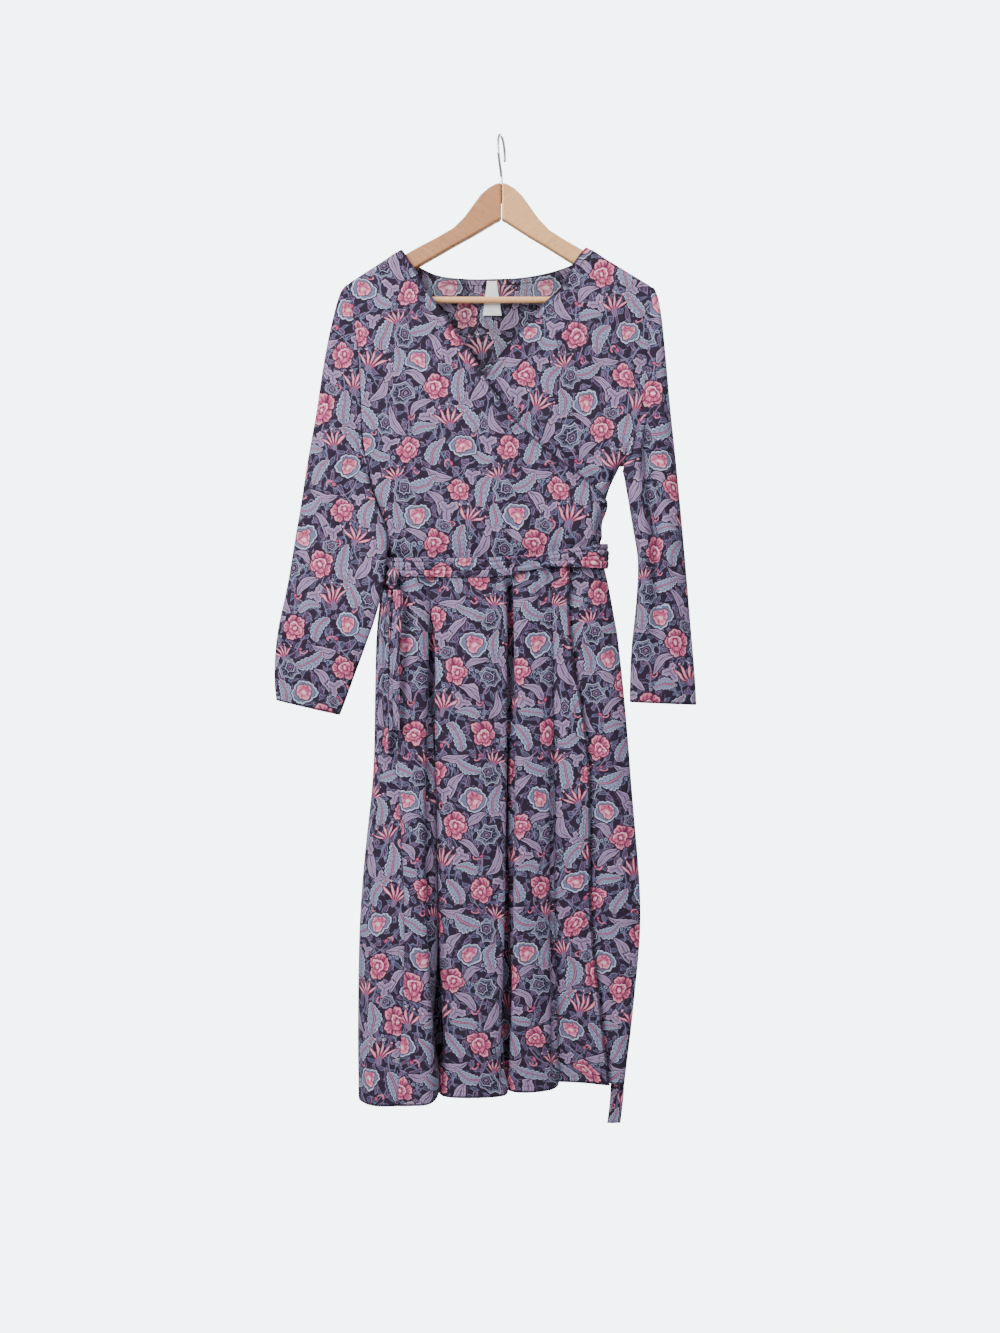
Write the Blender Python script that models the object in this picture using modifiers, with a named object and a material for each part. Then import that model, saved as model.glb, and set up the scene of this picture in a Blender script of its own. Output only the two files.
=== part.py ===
"""Wrap dress with long sleeves and a tied belt, hanging on a wooden hanger.

Every piece a maker would cut and sew is its own object: two wrapped bodice
fronts, the bodice back, two sleeves, the two wrapped skirt fronts, the skirt
back, the belt with its knot and free ends, and the neck label.  The hanger is
two wooden arms, a trouser bar and a wire hook.

Tables are in millimetres; the model is in metres.  X runs to the right as one
faces the front of the dress, Y runs from front to back, Z is up.  The origin
is the inside top of the hook, where it rests on what carries it.
"""
import math

import bpy
from mathutils import Vector

# ------------------------------------------------------------------ sizes, mm
CLOTH = 1.6            # wall of the dress cloth
SEAM_GAP = 0.6         # clear distance between two sewn panels
ARM_THICK = 12.5       # hanger arms, front to back
BAR_DIA = 9.0          # trouser bar
BAR_Z = -225.0
BAR_HALF = 187.0       # the bar's ends sit this far from the centre line
WIRE_DIA = 3.6         # hook wire
HOOK_RADIUS = 21.8     # centre line of the hook's bend
HOOK_TURN = 12.5       # degrees that the hook is turned about Z
FIT = 0.35             # clearance of wire and bar in their holes

WAIST_LEFT_Z = -602.0  # the waist seam slopes up to the right
WAIST_RIGHT_Z = -587.0
WAIST_LEFT_X = -166.0
WAIST_RIGHT_X = 139.0
HEM_Z = -1342.0

# Depth of the cloth in front of and behind the hanger's plane, by height.
#            z      over  under  back
DEPTHS = [(-150.0,  8.8,  8.8,   8.8),
          (-200.0, 10.0,  9.6,  10.0),
          (-300.0, 15.5, 11.4,  11.0),
          (-400.0, 21.0, 14.0,  12.0),
          (-500.0, 25.5, 15.8,  14.0),
          (-560.0, 26.0, 16.5,  16.0),
          (-605.0, 22.0, 14.0,  17.0)]
BLOUSE = (21.0, 38.0, 21.5)    # below the first height over the waist seam the
                               # front is held in to the last depth by the belt

# Shoulder seams: neck point to shoulder point.
NECK_LEFT, SHOULDER_LEFT = (-141.0, -157.0), (-213.5, -203.5)
NECK_RIGHT, SHOULDER_RIGHT = (119.5, -154.0), (209.5, -208.0)

# Armholes and side seams, shoulder point down to the waist.
#                    name        x       z
SIDE_LEFT = [("shoulder",    -213.5, -203.5),
             ("cap",         -206.5, -250.0),
             ("chest",       -200.0, -300.0),
             ("chest_low",   -196.0, -352.0),
             ("armhole_low", -192.5, -420.0),
             ("armpit",      -186.0, -466.0),
             ("under_arm",   -183.5, -489.0),
             ("side_high",   -177.0, -509.0),
             ("side_mid",    -167.0, -535.0),
             ("side_low",    -163.5, -566.0),
             ("waist",       -166.0, -601.5)]
SIDE_RIGHT = [("shoulder",    209.5, -208.0),
              ("cap",         206.0, -256.0),
              ("chest",       203.0, -306.0),
              ("chest_low",   198.0, -356.0),
              ("armhole_low", 187.0, -409.0),
              ("armpit",      169.5, -450.0),
              ("side_high",   151.0, -490.0),
              ("side_mid",    140.5, -530.0),
              ("side_low",    136.5, -562.0),
              ("waist",       139.0, -586.5)]
# Crossing edges of the two fronts, neck point down to the waist.
OVER_EDGE = [("neck",        -141.0, -157.0),
             ("collarbone",  -124.5, -183.0),
             ("turn",         -96.0, -229.0),
             ("chest",        -64.5, -274.0),
             ("bust",         -36.0, -316.0),
             ("crossing",     -10.0, -361.0),
             ("below",         20.0, -400.0),
             ("flank",         72.0, -445.0),
             ("side",         126.0, -488.0),
             ("wrap",         148.5, -512.0),
             ("wrap_mid",     144.0, -542.0),
             ("waist",        143.5, -586.5)]
UNDER_EDGE = [("neck",        119.5, -154.0),
              ("collarbone",  102.5, -176.0),
              ("turn",         87.0, -207.0),
              ("chest",        58.0, -236.0),
              ("bust",         26.0, -273.0),
              ("crossing",     -2.0, -306.0),
              ("below",       -24.0, -338.0),
              ("hidden_high", -58.0, -410.0),
              ("hidden_low",  -88.0, -500.0),
              ("waist",      -104.0, -598.0)]
# Back: the top edge from shoulder to shoulder, with the scooped neck.
BACK_TOP = [("shoulder_left", -213.5, -203.5),
            ("mid_left",      -177.0, -180.0),
            ("neck_left",     -141.0, -157.0),
            ("scoop_left",    -124.0, -171.0),
            ("scoop_2",        -92.0, -187.0),
            ("scoop_3",        -50.0, -192.5),
            ("nape",           -10.0, -192.5),
            ("scoop_5",         30.0, -190.5),
            ("scoop_6",         74.0, -182.0),
            ("scoop_right",    104.0, -170.0),
            ("neck_right",     119.5, -154.0),
            ("mid_right",      164.0, -181.0),
            ("shoulder_right", 209.5, -208.0)]

# Skirt: one strip of cloth seen from above, wound from the hidden free edge of
# the under front, round the right side, along the back, round the left side
# and across the front to the free edge of the over front.  Each row is a crest
# or a valley of a fold; its plan position is given at five heights, as a
# fraction of the way from waist to hem, with the drop of the hem there.
SKIRT_LEVELS = (0.0, 0.14, 0.37, 0.68, 1.0)
#          fold          waist          hip            thigh          knee           hem        drop
SKIRT = [("free_edge",  (-122, -12.5), (-120, -16.0), (-117, -20.0), (-114, -25.0), (-112, -26.0), 0),
         ("behind_v1",  (-101,  -8.5), ( -99,  -6.0), ( -94,  -3.0), ( -90,   5.0), ( -87,  13.0), 0),
         ("behind_2",   ( -42, -13.0), ( -42, -15.0), ( -42, -17.0), ( -44, -18.0), ( -44, -15.0), 0),
         ("behind_v2",  (  13,  -5.0), (  13,  -2.0), (   9,   0.0), (   6,   3.0), (   6,   8.0), 0),
         ("behind_3",   (  36, -13.0), (  37, -15.0), (  36, -15.0), (  36, -11.0), (  38,  -2.0), 0),
         ("behind_v3",  (  69,  -9.0), (  70,  -8.0), (  72,  -4.0), (  76,   6.0), (  80,  17.0), 0),
         ("tuck",       ( 100, -12.5), ( 104, -15.0), ( 128, -11.0), ( 137,   0.0), ( 154,  12.0), 0),
         ("strip",      ( 124, -13.5), ( 136, -15.5), ( 158, -13.0), ( 172,  -7.0), ( 170,   5.0), 0),
         ("turn_right", ( 142,   0.0), ( 162,   0.0), ( 180,   0.0), ( 198,   2.0), ( 178,  12.0), 0),
         ("seam_right", ( 126,  14.0), ( 142,  16.0), ( 161,  18.0), ( 177,  21.0), ( 163,  25.0), 0),
         ("back_1",     ( 100,  19.0), ( 108,  26.0), ( 122,  31.0), ( 134,  36.0), ( 131,  40.0), 0),
         ("back_v1",    (  74,  12.5), (  76,  15.0), (  80,  18.0), (  84,  23.0), (  86,  28.0), 3),
         ("back_2",     (  46,  19.5), (  46,  26.0), (  48,  31.0), (  50,  37.0), (  50,  42.0), 0),
         ("back_v2",    (  18,  12.5), (  16,  14.0), (  14,  17.0), (  12,  22.0), (  12,  27.0), 3),
         ("back_3",     ( -12,  20.0), ( -14,  27.0), ( -18,  32.0), ( -22,  37.0), ( -24,  41.0), 0),
         ("back_v3",    ( -46,  13.5), ( -49,  16.0), ( -53,  19.0), ( -58,  24.0), ( -62,  28.0), 3),
         ("back_4",     ( -80,  19.0), ( -85,  25.0), ( -92,  30.0), ( -98,  34.0), (-103,  38.0), 0),
         ("back_v4",    (-116,  14.0), (-120,  17.0), (-127,  19.0), (-135,  22.0), (-141,  25.0), 2),
         ("back_5",     (-148,  13.5), (-153,  16.0), (-158,  17.0), (-174,  17.0), (-182,  14.0), -2),
         ("turn_left",  (-166,  -3.0), (-176,  -5.0), (-180,  -8.0), (-200, -12.0), (-201, -24.0), -6),
         ("round_left", (-157, -16.5), (-163, -22.0), (-166, -30.0), (-174, -42.0), (-177, -55.0), -4),
         ("seam_left",  (-145, -20.5), (-145, -28.0), (-143, -39.0), (-134, -50.0), (-143, -61.0), -2),
         ("crest_1",    (-121, -24.0), (-121, -32.0), (-119, -44.0), (-114, -54.0), (-114, -62.0), 0),
         ("valley_1",   (-101, -16.0), ( -99, -14.0), ( -94, -11.0), ( -90,  -3.0), ( -88,   4.0), 8),
         ("crest_2",    ( -78, -24.0), ( -76, -29.0), ( -71, -33.0), ( -68, -34.0), ( -69, -31.0), 0),
         ("crest_2b",   ( -34, -24.5), ( -33, -32.0), ( -35, -37.0), ( -38, -39.0), ( -40, -39.0), 0),
         ("brow_2",     (  -2, -22.0), (  -4, -28.0), (  -7, -31.0), (  -8, -32.0), (  -9, -30.0), 0),
         ("valley_2",   (  13, -12.5), (  13, -10.0), (   9,  -8.0), (   7,  -6.0), (   7,  -3.0), 2),
         ("crest_3",    (  32, -23.5), (  34, -29.0), (  33, -32.0), (  31, -29.0), (  32, -21.0), 0),
         ("brow_3",     (  56, -21.5), (  57, -26.0), (  58, -27.0), (  61, -20.0), (  64, -13.0), 0),
         ("valley_3",   (  70, -17.0), (  72, -17.0), (  74, -13.0), (  78,  -3.0), (  82,   7.0), 3),
         ("crest_4",    (  82, -20.5), (  85, -23.0), (  98, -20.0), ( 105,  -8.0), ( 116,   8.0), 2),
         ("over_edge",  (  93, -20.0), (  97, -22.5), ( 121, -18.0), ( 127,  -7.5), ( 154,   3.0), 0)]

# Sleeves: rings from the armhole to the cuff.  outer is the point on the
# sleeve's outside fold, inner the one on its inside fold; half is the half
# depth, crease a lengthwise fold sunk into the front of the ring, and bow how
# far the ring curves outward past the straight line from outer to inner.
#                outer x   z     y    inner x   z     y   half crease bow
SLEEVE_LEFT = [("cap",    -226, -221,   0,  -190, -489,  -1, 17.0,  0.0,  0.0),
               ("head",   -237, -262,   0,  -189, -500,  -3, 16.0,  0.0,  0.0),
               ("upper",  -248, -316,  -1,  -185, -514,  -8, 14.5,  1.5,  0.0),
               ("biceps", -259, -386,  -3,  -174, -534, -18, 13.0,  3.0,  0.0),
               ("crook",  -272, -456,  -5,  -165, -567, -31, 12.0,  4.0,  0.0),
               ("elbow",  -286, -540,  -7,  -163, -608, -36, 11.5,  4.0,  0.0),
               ("fore",   -301, -632,  -9,  -174, -662, -35, 10.5,  3.0,  0.0),
               ("lower",  -313, -692, -10,  -189, -706, -29,  9.5,  2.0,  0.0),
               ("wrist",  -318, -745,  -9,  -209, -756, -21,  8.5,  1.0,  0.0),
               ("cuff",   -317, -786,  -8,  -228, -806, -15,  8.0,  0.0,  0.0)]
SLEEVE_RIGHT = [("cap",    221, -238,   0,   182, -458,   0, 18.0,  0.0,  8.0),
                ("head",   229, -302,   2,   179, -482,  -3, 20.0,  5.0,  4.0),
                ("upper",  236, -371,   4,   181, -510,  -6, 22.0, 12.0,  1.0),
                ("biceps", 245, -456,   6,   187, -548,  -7, 27.0, 16.0,  0.0),
                ("elbow",  254, -547,   7,   193, -592,  -8, 29.0, 17.0,  0.0),
                ("fore",   263, -637,   6,   191, -650,  -7, 24.0, 10.0,  0.0),
                ("wrist",  270, -715,   3,   185, -718,  -5, 14.0,  3.0,  0.0),
                ("cuff",   275.5, -793, 0,   183, -789,  -3,  8.0,  0.0,  0.0)]
CREASE_PLACE = 0.62    # where the crease lies, from outer (0) to inner (1)
CREASE_WIDTH = 0.17

# Belt: a soft strip round the waist.  Plan position and the strip's top and
# bottom edge at each turn; it is crushed narrow across the front.
#             place         x      y       top      bottom
BELT = [("knot_side",    -150.0, -27.0, -588.0, -614.5),
        ("front_1",      -110.0, -28.5, -588.5, -614.5),
        ("front_2",       -60.0, -29.0, -589.0, -614.5),
        ("front_3",       -15.0, -29.0, -588.5, -614.0),
        ("cross",          12.0, -29.5, -586.0, -611.0),
        ("front_4",        45.0, -29.0, -583.5, -604.0),
        ("front_5",        80.0, -28.0, -578.5, -600.5),
        ("front_6",       112.0, -28.0, -573.0, -601.0),
        ("corner_1",      136.0, -24.0, -569.0, -602.0),
        ("side_right",    148.5,  -5.0, -568.0, -602.0),
        ("corner_2",      140.0,  14.5, -568.0, -602.0),
        ("back_1",        108.0,  24.0, -570.0, -602.0),
        ("back_2",         50.0,  25.5, -575.0, -606.0),
        ("back_3",        -10.0,  25.5, -579.0, -609.0),
        ("back_4",        -70.0,  25.0, -582.0, -612.0),
        ("back_5",       -120.0,  24.0, -585.0, -615.0),
        ("corner_3",     -160.0,  19.5, -586.5, -616.0),
        ("side_left",    -174.5,  -2.0, -587.0, -616.0),
        ("corner_4",     -167.0, -20.0, -587.5, -615.0)]
KNOT_CENTRE = (-150.5, -38.5, -617.0)
KNOT_HALF = (8.5, 7.0, 15.0)
# Free ends: centre line with the strip's width.
#                x      y       z     width
TAIL_LONG = [(-157.0, -41.0, -633.5, 10.0),
             (-159.5, -43.0, -660.0, 12.0),
             (-163.0, -46.0, -710.0, 14.0),
             (-163.5, -48.5, -770.0, 14.5),
             (-163.0, -51.0, -830.0, 15.0),
             (-163.0, -52.0, -858.0, 15.0)]
TAIL_SHORT = [(-144.5, -40.0, -633.5, 9.0),
              (-143.5, -43.0, -660.0, 12.0),
              (-146.0, -47.5, -710.0, 13.0),
              (-147.0, -50.5, -770.0, 13.5),
              (-147.0, -53.5, -826.0, 14.0)]
TAIL_BACK = [(120.0, 26.0, -603.2, 22.0),
             (130.0, 27.5, -650.0, 23.0),
             (139.0, 31.5, -740.0, 24.0),
             (151.0, 34.5, -870.0, 24.0),
             (166.0, 35.5, -1090.0, 24.0),
             (170.5, 36.5, -1230.0, 23.0),
             (171.0, 36.0, -1342.0, 20.0),
             (168.0, 34.5, -1385.0, 19.5),
             (165.0, 33.5, -1411.0, 19.5)]

# Neck label: tapers wider to its foot.
LABEL_TOP = (-20.5, -7.0, -196.5)
LABEL_FOOT = (-26.5, 0.5, -245.0)
LABEL_Y = 8.0
LABEL_THICK = 0.8

# Hanger arm: outline from the centre joint along the top and back below; the
# arms droop by this much at 200 mm out, the right one more than the left.
ARM_DROOP = {-1: 3.0, 1: 12.5}
ARM_TOP = [(0.4, -63.8), (8.0, -65.2), (18.0, -70.5), (29.0, -80.0), (40.0, -94.5),
           (52.0, -110.5), (67.0, -125.0), (90.0, -138.0), (118.0, -152.0),
           (136.0, -162.0), (170.0, -182.5), (200.0, -203.0)]
ARM_TIP = [(208.0, -212.0), (209.5, -223.0), (204.0, -233.5), (194.0, -236.5), (184.0, -234.0)]
ARM_UNDER = [(172.0, -220.0), (156.0, -206.0), (122.0, -180.5), (90.0, -163.0),
             (63.0, -148.0), (41.0, -136.5), (20.0, -124.5), (8.0, -117.5), (0.4, -114.0)]

WOOD_DARK = (0.52, 0.33, 0.19, 1.0)
WOOD_LIGHT = (0.66, 0.47, 0.30, 1.0)
PRINT_GROUND = (0.075, 0.050, 0.085, 1.0)
LABEL_WHITE = (0.86, 0.86, 0.85, 1.0)
STEEL = (0.62, 0.62, 0.62, 1.0)

MM = 0.001


# ------------------------------------------------------------------ helpers
def clear_scene():
    for obj in list(bpy.data.objects):
        bpy.data.objects.remove(obj, do_unlink=True)


def material(name, colour, roughness, metallic=0.0):
    mat = bpy.data.materials.new(name)
    mat.use_nodes = True
    bsdf = mat.node_tree.nodes["Principled BSDF"]
    bsdf.inputs["Base Color"].default_value = colour
    bsdf.inputs["Roughness"].default_value = roughness
    bsdf.inputs["Metallic"].default_value = metallic
    return mat


def lerp(a, b, t):
    return a + (b - a) * t


def ramp(rows, value, column):
    """Linear look-up in a table sorted by its first column, high to low."""
    if value >= rows[0][0]:
        return rows[0][column]
    for upper, lower in zip(rows, rows[1:]):
        if value >= lower[0]:
            t = (upper[0] - value) / (upper[0] - lower[0])
            return lerp(upper[column], lower[column], t)
    return rows[-1][column]


def spline(points, where):
    """Centripetal Catmull-Rom curve through points, read at each place in
    where, counted in points (1.5 is halfway between points 1 and 2)."""
    pts = [Vector(p) for p in points]
    pts = [pts[0] * 2 - pts[1]] + pts + [pts[-1] * 2 - pts[-2]]
    out = []
    for place in where:
        k = min(int(place), len(points) - 2)
        p0, p1, p2, p3 = pts[k:k + 4]
        t0 = 0.0
        t1 = t0 + math.sqrt(max((p1 - p0).length, 1e-6))
        t2 = t1 + math.sqrt(max((p2 - p1).length, 1e-6))
        t3 = t2 + math.sqrt(max((p3 - p2).length, 1e-6))
        t = lerp(t1, t2, place - k)
        a1 = p0 * ((t1 - t) / (t1 - t0)) + p1 * ((t - t0) / (t1 - t0))
        a2 = p1 * ((t2 - t) / (t2 - t1)) + p2 * ((t - t1) / (t2 - t1))
        a3 = p2 * ((t3 - t) / (t3 - t2)) + p3 * ((t - t2) / (t3 - t2))
        b1 = a1 * ((t2 - t) / (t2 - t0)) + a2 * ((t - t0) / (t2 - t0))
        b2 = a2 * ((t3 - t) / (t3 - t1)) + a3 * ((t - t1) / (t3 - t1))
        out.append(b1 * ((t2 - t) / (t2 - t1)) + b2 * ((t - t1) / (t2 - t1)))
    return out


def evenly(points, count):
    """count points at equal distances along a polyline."""
    lengths = [0.0]
    for a, b in zip(points, points[1:]):
        lengths.append(lengths[-1] + (b - a).length)
    out, k = [], 0
    for i in range(count):
        goal = lengths[-1] * i / (count - 1)
        while k < len(points) - 2 and lengths[k + 1] < goal:
            k += 1
        span = max(lengths[k + 1] - lengths[k], 1e-9)
        out.append(points[k].lerp(points[k + 1], min(max((goal - lengths[k]) / span, 0.0), 1.0)))
    return out


def named_curve(rows):
    """Drop the names of a table of plan points."""
    return [row[1:] for row in rows]


def along(rows, fractions):
    """Smooth curve through a named table, read at fractions of its length."""
    points = named_curve(rows)
    dense = spline([Vector(p).to_3d() for p in points],
                   [i / 8.0 for i in range((len(points) - 1) * 8 + 1)])
    fine = evenly(dense, 401)
    return [fine[min(400, max(0, round(f * 400)))] for f in fractions]


def round_over(distance, radius):
    """Quarter round: 0 at the edge, 1 once distance reaches radius."""
    t = min(max(distance / radius, 0.0), 1.0)
    return math.sqrt(1.0 - (1.0 - t) ** 2)


def add_mesh(name, verts, faces, mat, collection, closed_rows=False):
    mesh = bpy.data.meshes.new(name)
    mesh.from_pydata([tuple(c * MM for c in v) for v in verts], [], faces)
    mesh.validate()
    mesh.materials.append(mat)
    obj = bpy.data.objects.new(name, mesh)
    collection.objects.link(obj)
    mesh.shade_smooth()
    return obj


def grid_faces(rows, columns, wrap=False):
    faces = []
    for j in range(rows - 1):
        for i in range(columns if wrap else columns - 1):
            n = (i + 1) % columns
            faces.append((j * columns + i, (j + 1) * columns + i,
                          (j + 1) * columns + n, j * columns + n))
    return faces


def shell(name, grid, mat, collection, inside, wrap=False, thickness=CLOTH):
    """Open sheet given as rows of points, thickened outward with Solidify.
    inside gives a point inside the garment for each row, or one (x, y) pair."""
    rows, columns = len(grid), len(grid[0])
    faces = grid_faces(rows, columns, wrap)
    flat = [p for row in grid for p in row]
    outward = 0.0
    for j, face in enumerate(faces):
        a, b, c, d = (flat[k] for k in face)
        centre = (a + b + c + d) / 4
        if inside == "row":
            row = grid[face[0] // columns]
            origin = sum(row, Vector()) / len(row)
        else:
            origin = Vector((inside[0], inside[1], centre.z))
        outward += (c - a).cross(d - b).dot(centre - origin)
    if outward < 0:
        faces = [tuple(reversed(f)) for f in faces]
    obj = add_mesh(name, flat, faces, mat, collection)
    solid = obj.modifiers.new("wall", "SOLIDIFY")
    solid.thickness = thickness * MM
    solid.offset = 1.0
    solid.use_quality_normals = True
    return obj


# ------------------------------------------------------------------ bodice
def shoulder_line(x):
    """Height of the shoulder seam, or of its line carried on over the neck."""
    (nx, nz), (sx, sz) = (NECK_LEFT, SHOULDER_LEFT) if x < 0 else (NECK_RIGHT, SHOULDER_RIGHT)
    return nz + (sz - nz) * (x - nx) / (sx - nx)


def waist_z(x):
    t = (x - WAIST_LEFT_X) / (WAIST_RIGHT_X - WAIST_LEFT_X)
    return lerp(WAIST_LEFT_Z, WAIST_RIGHT_Z, min(max(t, 0.0), 1.0))


def side_x(rows, z):
    """Place of an armhole or side seam at height z."""
    table = [(row[2], row[1]) for row in rows]
    return ramp(table, z, 1)


def bodice_depth(x, z, layer, radius):
    """Distance of a bodice layer from the hanger's plane (positive)."""
    depth = ramp(DEPTHS, z, {"over": 1, "under": 2, "back": 3}[layer])
    over_arm = round_over(shoulder_line(x) - z, 10.0)
    left, right = side_x(SIDE_LEFT, z), side_x(SIDE_RIGHT, z)
    lift_left = max(0.0, z - SIDE_LEFT[5][2]) * 0.5
    lift_right = max(0.0, z - SIDE_RIGHT[5][2]) * 0.5
    if layer == "over":         # its edge laps over the side of the layer below
        right += 2.5 + 4.5 * min(max((z + 565.0) / 45.0, 0.0), 1.0)
    side = round_over(x - left + lift_left, radius) * round_over(right - x + lift_right, radius)
    if layer != "back":
        low, high, held = BLOUSE
        h = z - waist_z(x)
        t = min(max((h - low) / (high - low), 0.0), 1.0)
        depth = min(depth, lerp(held, 60.0, t * t * (3 - 2 * t)))
    gap = SEAM_GAP / 2
    return gap + (depth - gap) * over_arm * side


def coons(top, bottom, left, right, us, vs):
    """Surface stretched between four edges, each read at us or vs."""
    grid = []
    for j, v in enumerate(vs):
        row = []
        for i, u in enumerate(us):
            flat = (top[i] * (1 - v) + bottom[i] * v + left[j] * (1 - u) + right[j] * u
                    - top[0] * ((1 - u) * (1 - v)) - top[-1] * (u * (1 - v))
                    - bottom[0] * ((1 - u) * v) - bottom[-1] * (u * v))
            row.append(flat)
        grid.append(row)
    return grid


def waist_line(x0, x1, us):
    out = []
    for u in us:
        x = lerp(x0, x1, u)
        out.append(Vector((x, waist_z(x) + SEAM_GAP / 2, 0.0)))
    return out


ROWS_V = (0.0, 0.0008, 0.010, 0.035, 0.12, 0.24, 0.37, 0.50, 0.585, 0.63, 0.70, 0.78, 0.87, 0.945, 1.0)
ARMHOLE_ROWS = 9       # rows 0..9 of a front run down the armhole
SIDES_US = (0.0, 0.004, 0.025, 0.09, 0.2, 0.34, 0.48, 0.61, 0.73, 0.84, 0.92, 0.97, 1.0)


def side_curve(rows):
    """Armhole and side seam, with row ARMHOLE_ROWS exactly at the armpit."""
    dense = spline([Vector((r[1], r[2], 0.0)) for r in rows],
                   [i / 8.0 for i in range((len(rows) - 1) * 8 + 1)])
    hole, side = dense[:5 * 8 + 1], dense[5 * 8:]
    # the armhole's share of the rows follows ROWS_V, so the first ones are close
    top = [v / ROWS_V[ARMHOLE_ROWS] for v in ROWS_V[:ARMHOLE_ROWS + 1]]
    low = [(v - ROWS_V[ARMHOLE_ROWS]) / (1 - ROWS_V[ARMHOLE_ROWS]) for v in ROWS_V[ARMHOLE_ROWS + 1:]]
    fine_hole, fine_side = evenly(hole, 401), evenly(side, 401)
    return [fine_hole[round(f * 400)] for f in top] + [fine_side[round(f * 400)] for f in low]


def bodice_panel(top, bottom, left, right, us, layer, sign, radius):
    flat = coons(top, bottom, left, right, us, ROWS_V)
    grid = []
    for row in flat:
        grid.append([Vector((p.x, sign * bodice_depth(p.x, p.y, layer, radius), p.y)) for p in row])
    return grid


def build_bodice(cloth, collection):
    left_side, right_side = side_curve(SIDE_LEFT), side_curve(SIDE_RIGHT)
    over_edge, under_edge = along(OVER_EDGE, ROWS_V), along(UNDER_EDGE, ROWS_V)

    us = SIDES_US                       # close-set at the side seam
    top = [Vector((lerp(SHOULDER_LEFT[0], NECK_LEFT[0], u), lerp(SHOULDER_LEFT[1], NECK_LEFT[1], u), 0)) for u in us]
    over = bodice_panel(top, waist_line(left_side[-1].x, over_edge[-1].x, us), left_side, over_edge,
                        us, "over", -1.0, 13.0)
    us = [1.0 - u for u in reversed(SIDES_US)]
    top = [Vector((lerp(NECK_RIGHT[0], SHOULDER_RIGHT[0], u), lerp(NECK_RIGHT[1], SHOULDER_RIGHT[1], u), 0)) for u in us]
    under = bodice_panel(top, waist_line(under_edge[-1].x, right_side[-1].x, us), under_edge, right_side,
                         us, "under", -1.0, 13.0)

    # the back: columns set by the top edge's named points, closer at the sides
    marks = [0.0, 0.05, 0.4, 1.1, 2.0, 2.6, 3.3, 4.0, 5.0, 6.0, 7.0, 8.0, 9.0, 9.5, 10.0, 10.9, 11.6, 11.95, 12.0]
    top = spline([Vector((r[1], r[2], 0.0)) for r in BACK_TOP], marks)
    us_back = [(p.x - top[0].x) / (top[-1].x - top[0].x) for p in top]
    us_back[1], us_back[-2] = 0.004, 0.996
    back = bodice_panel(top, waist_line(left_side[-1].x, right_side[-1].x, us_back), left_side, right_side,
                        us_back, "back", 1.0, 13.0)

    shell("bodice_front_over", over, cloth, collection, (0.0, 400.0))
    shell("bodice_front_under", under, cloth, collection, (0.0, 400.0))
    shell("bodice_back", back, cloth, collection, (0.0, -400.0))
    return over, under, back


# ------------------------------------------------------------------ sleeves
def armhole_ring(front, back, column, outward):
    """Loop round the armhole from the shoulder seam down the front edge to the
    armpit and up the back edge, stood off by the seam gap."""
    ring = [front[j][column] for j in range(ARMHOLE_ROWS + 1)]
    ring += [back[j][column] for j in range(ARMHOLE_ROWS - 1, 0, -1)]
    top, pit = ring[0].z, ring[ARMHOLE_ROWS].z
    out = []
    for p in ring:              # at the armpit it clears the wall of the panels too
        low = ((top - p.z) / (top - pit)) ** 4
        out.append(p + Vector((outward * (SEAM_GAP + 2.0 * low), 0.0, -2.0 * low)))
    return out


def sleeve_ring(row, fractions):
    """Flattened ring between the outer and the inner fold."""
    outer, inner = Vector((row[1], row[3], row[2])), Vector((row[4], row[6], row[5]))
    half, crease = row[7], row[8]
    ring = []
    for side, f in fractions:
        swell = math.sin(math.pi * f) ** 0.5
        across = 0.5 - 0.5 * math.cos(math.pi * f)
        p = outer.lerp(inner, across)
        p.x += math.copysign(row[9] * math.sin(math.pi * across), outer.x)
        depth = half * swell
        if side < 0:
            depth -= crease * math.exp(-((across - CREASE_PLACE) / CREASE_WIDTH) ** 2)
        ring.append(p + Vector((0.0, side * depth, 0.0)))
    return ring


def build_sleeve(name, rows, front, back, column, outward, cloth, collection):
    ring0 = armhole_ring(front, back, column, outward)
    # the fraction of each point round the ring follows the armhole's own rows
    spread = [0.0, 0.09, 0.2, 0.31, 0.42, 0.53, 0.64, 0.76, 0.88, 1.0]
    fractions = [(-1.0, f) for f in spread] + [(1.0, f) for f in reversed(spread[1:-1])]
    first = []
    for i, p in enumerate(ring0):
        low = (ring0[0].z - p.z) / (ring0[0].z - ring0[ARMHOLE_ROWS].z)      # 0 at the shoulder, 1 at the armpit
        first.append(Vector((p.x + outward * lerp(3.0, 2.5, low), p.y * 1.03, p.z - lerp(2.0, 4.0, low))))
    grid = [ring0, first] + [sleeve_ring(row, fractions) for row in rows]
    shell(name, grid, cloth, collection, "row", wrap=True)


# ------------------------------------------------------------------ skirt
def skirt_section(t):
    """Plan points of every fold at fraction t of the way to the hem."""
    levels = list(SKIRT_LEVELS)
    k = max(i for i, level in enumerate(levels[:-1]) if t >= level)
    place = k + (t - levels[k]) / (levels[k + 1] - levels[k])
    section = []
    for row in SKIRT:
        track = [Vector((levels[i] * 300.0, row[1 + i][0], row[1 + i][1])) for i in range(5)]
        p = spline(track, [place])[0]
        section.append((p.y, p.z, row[6] * t * t))
    return section


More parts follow.
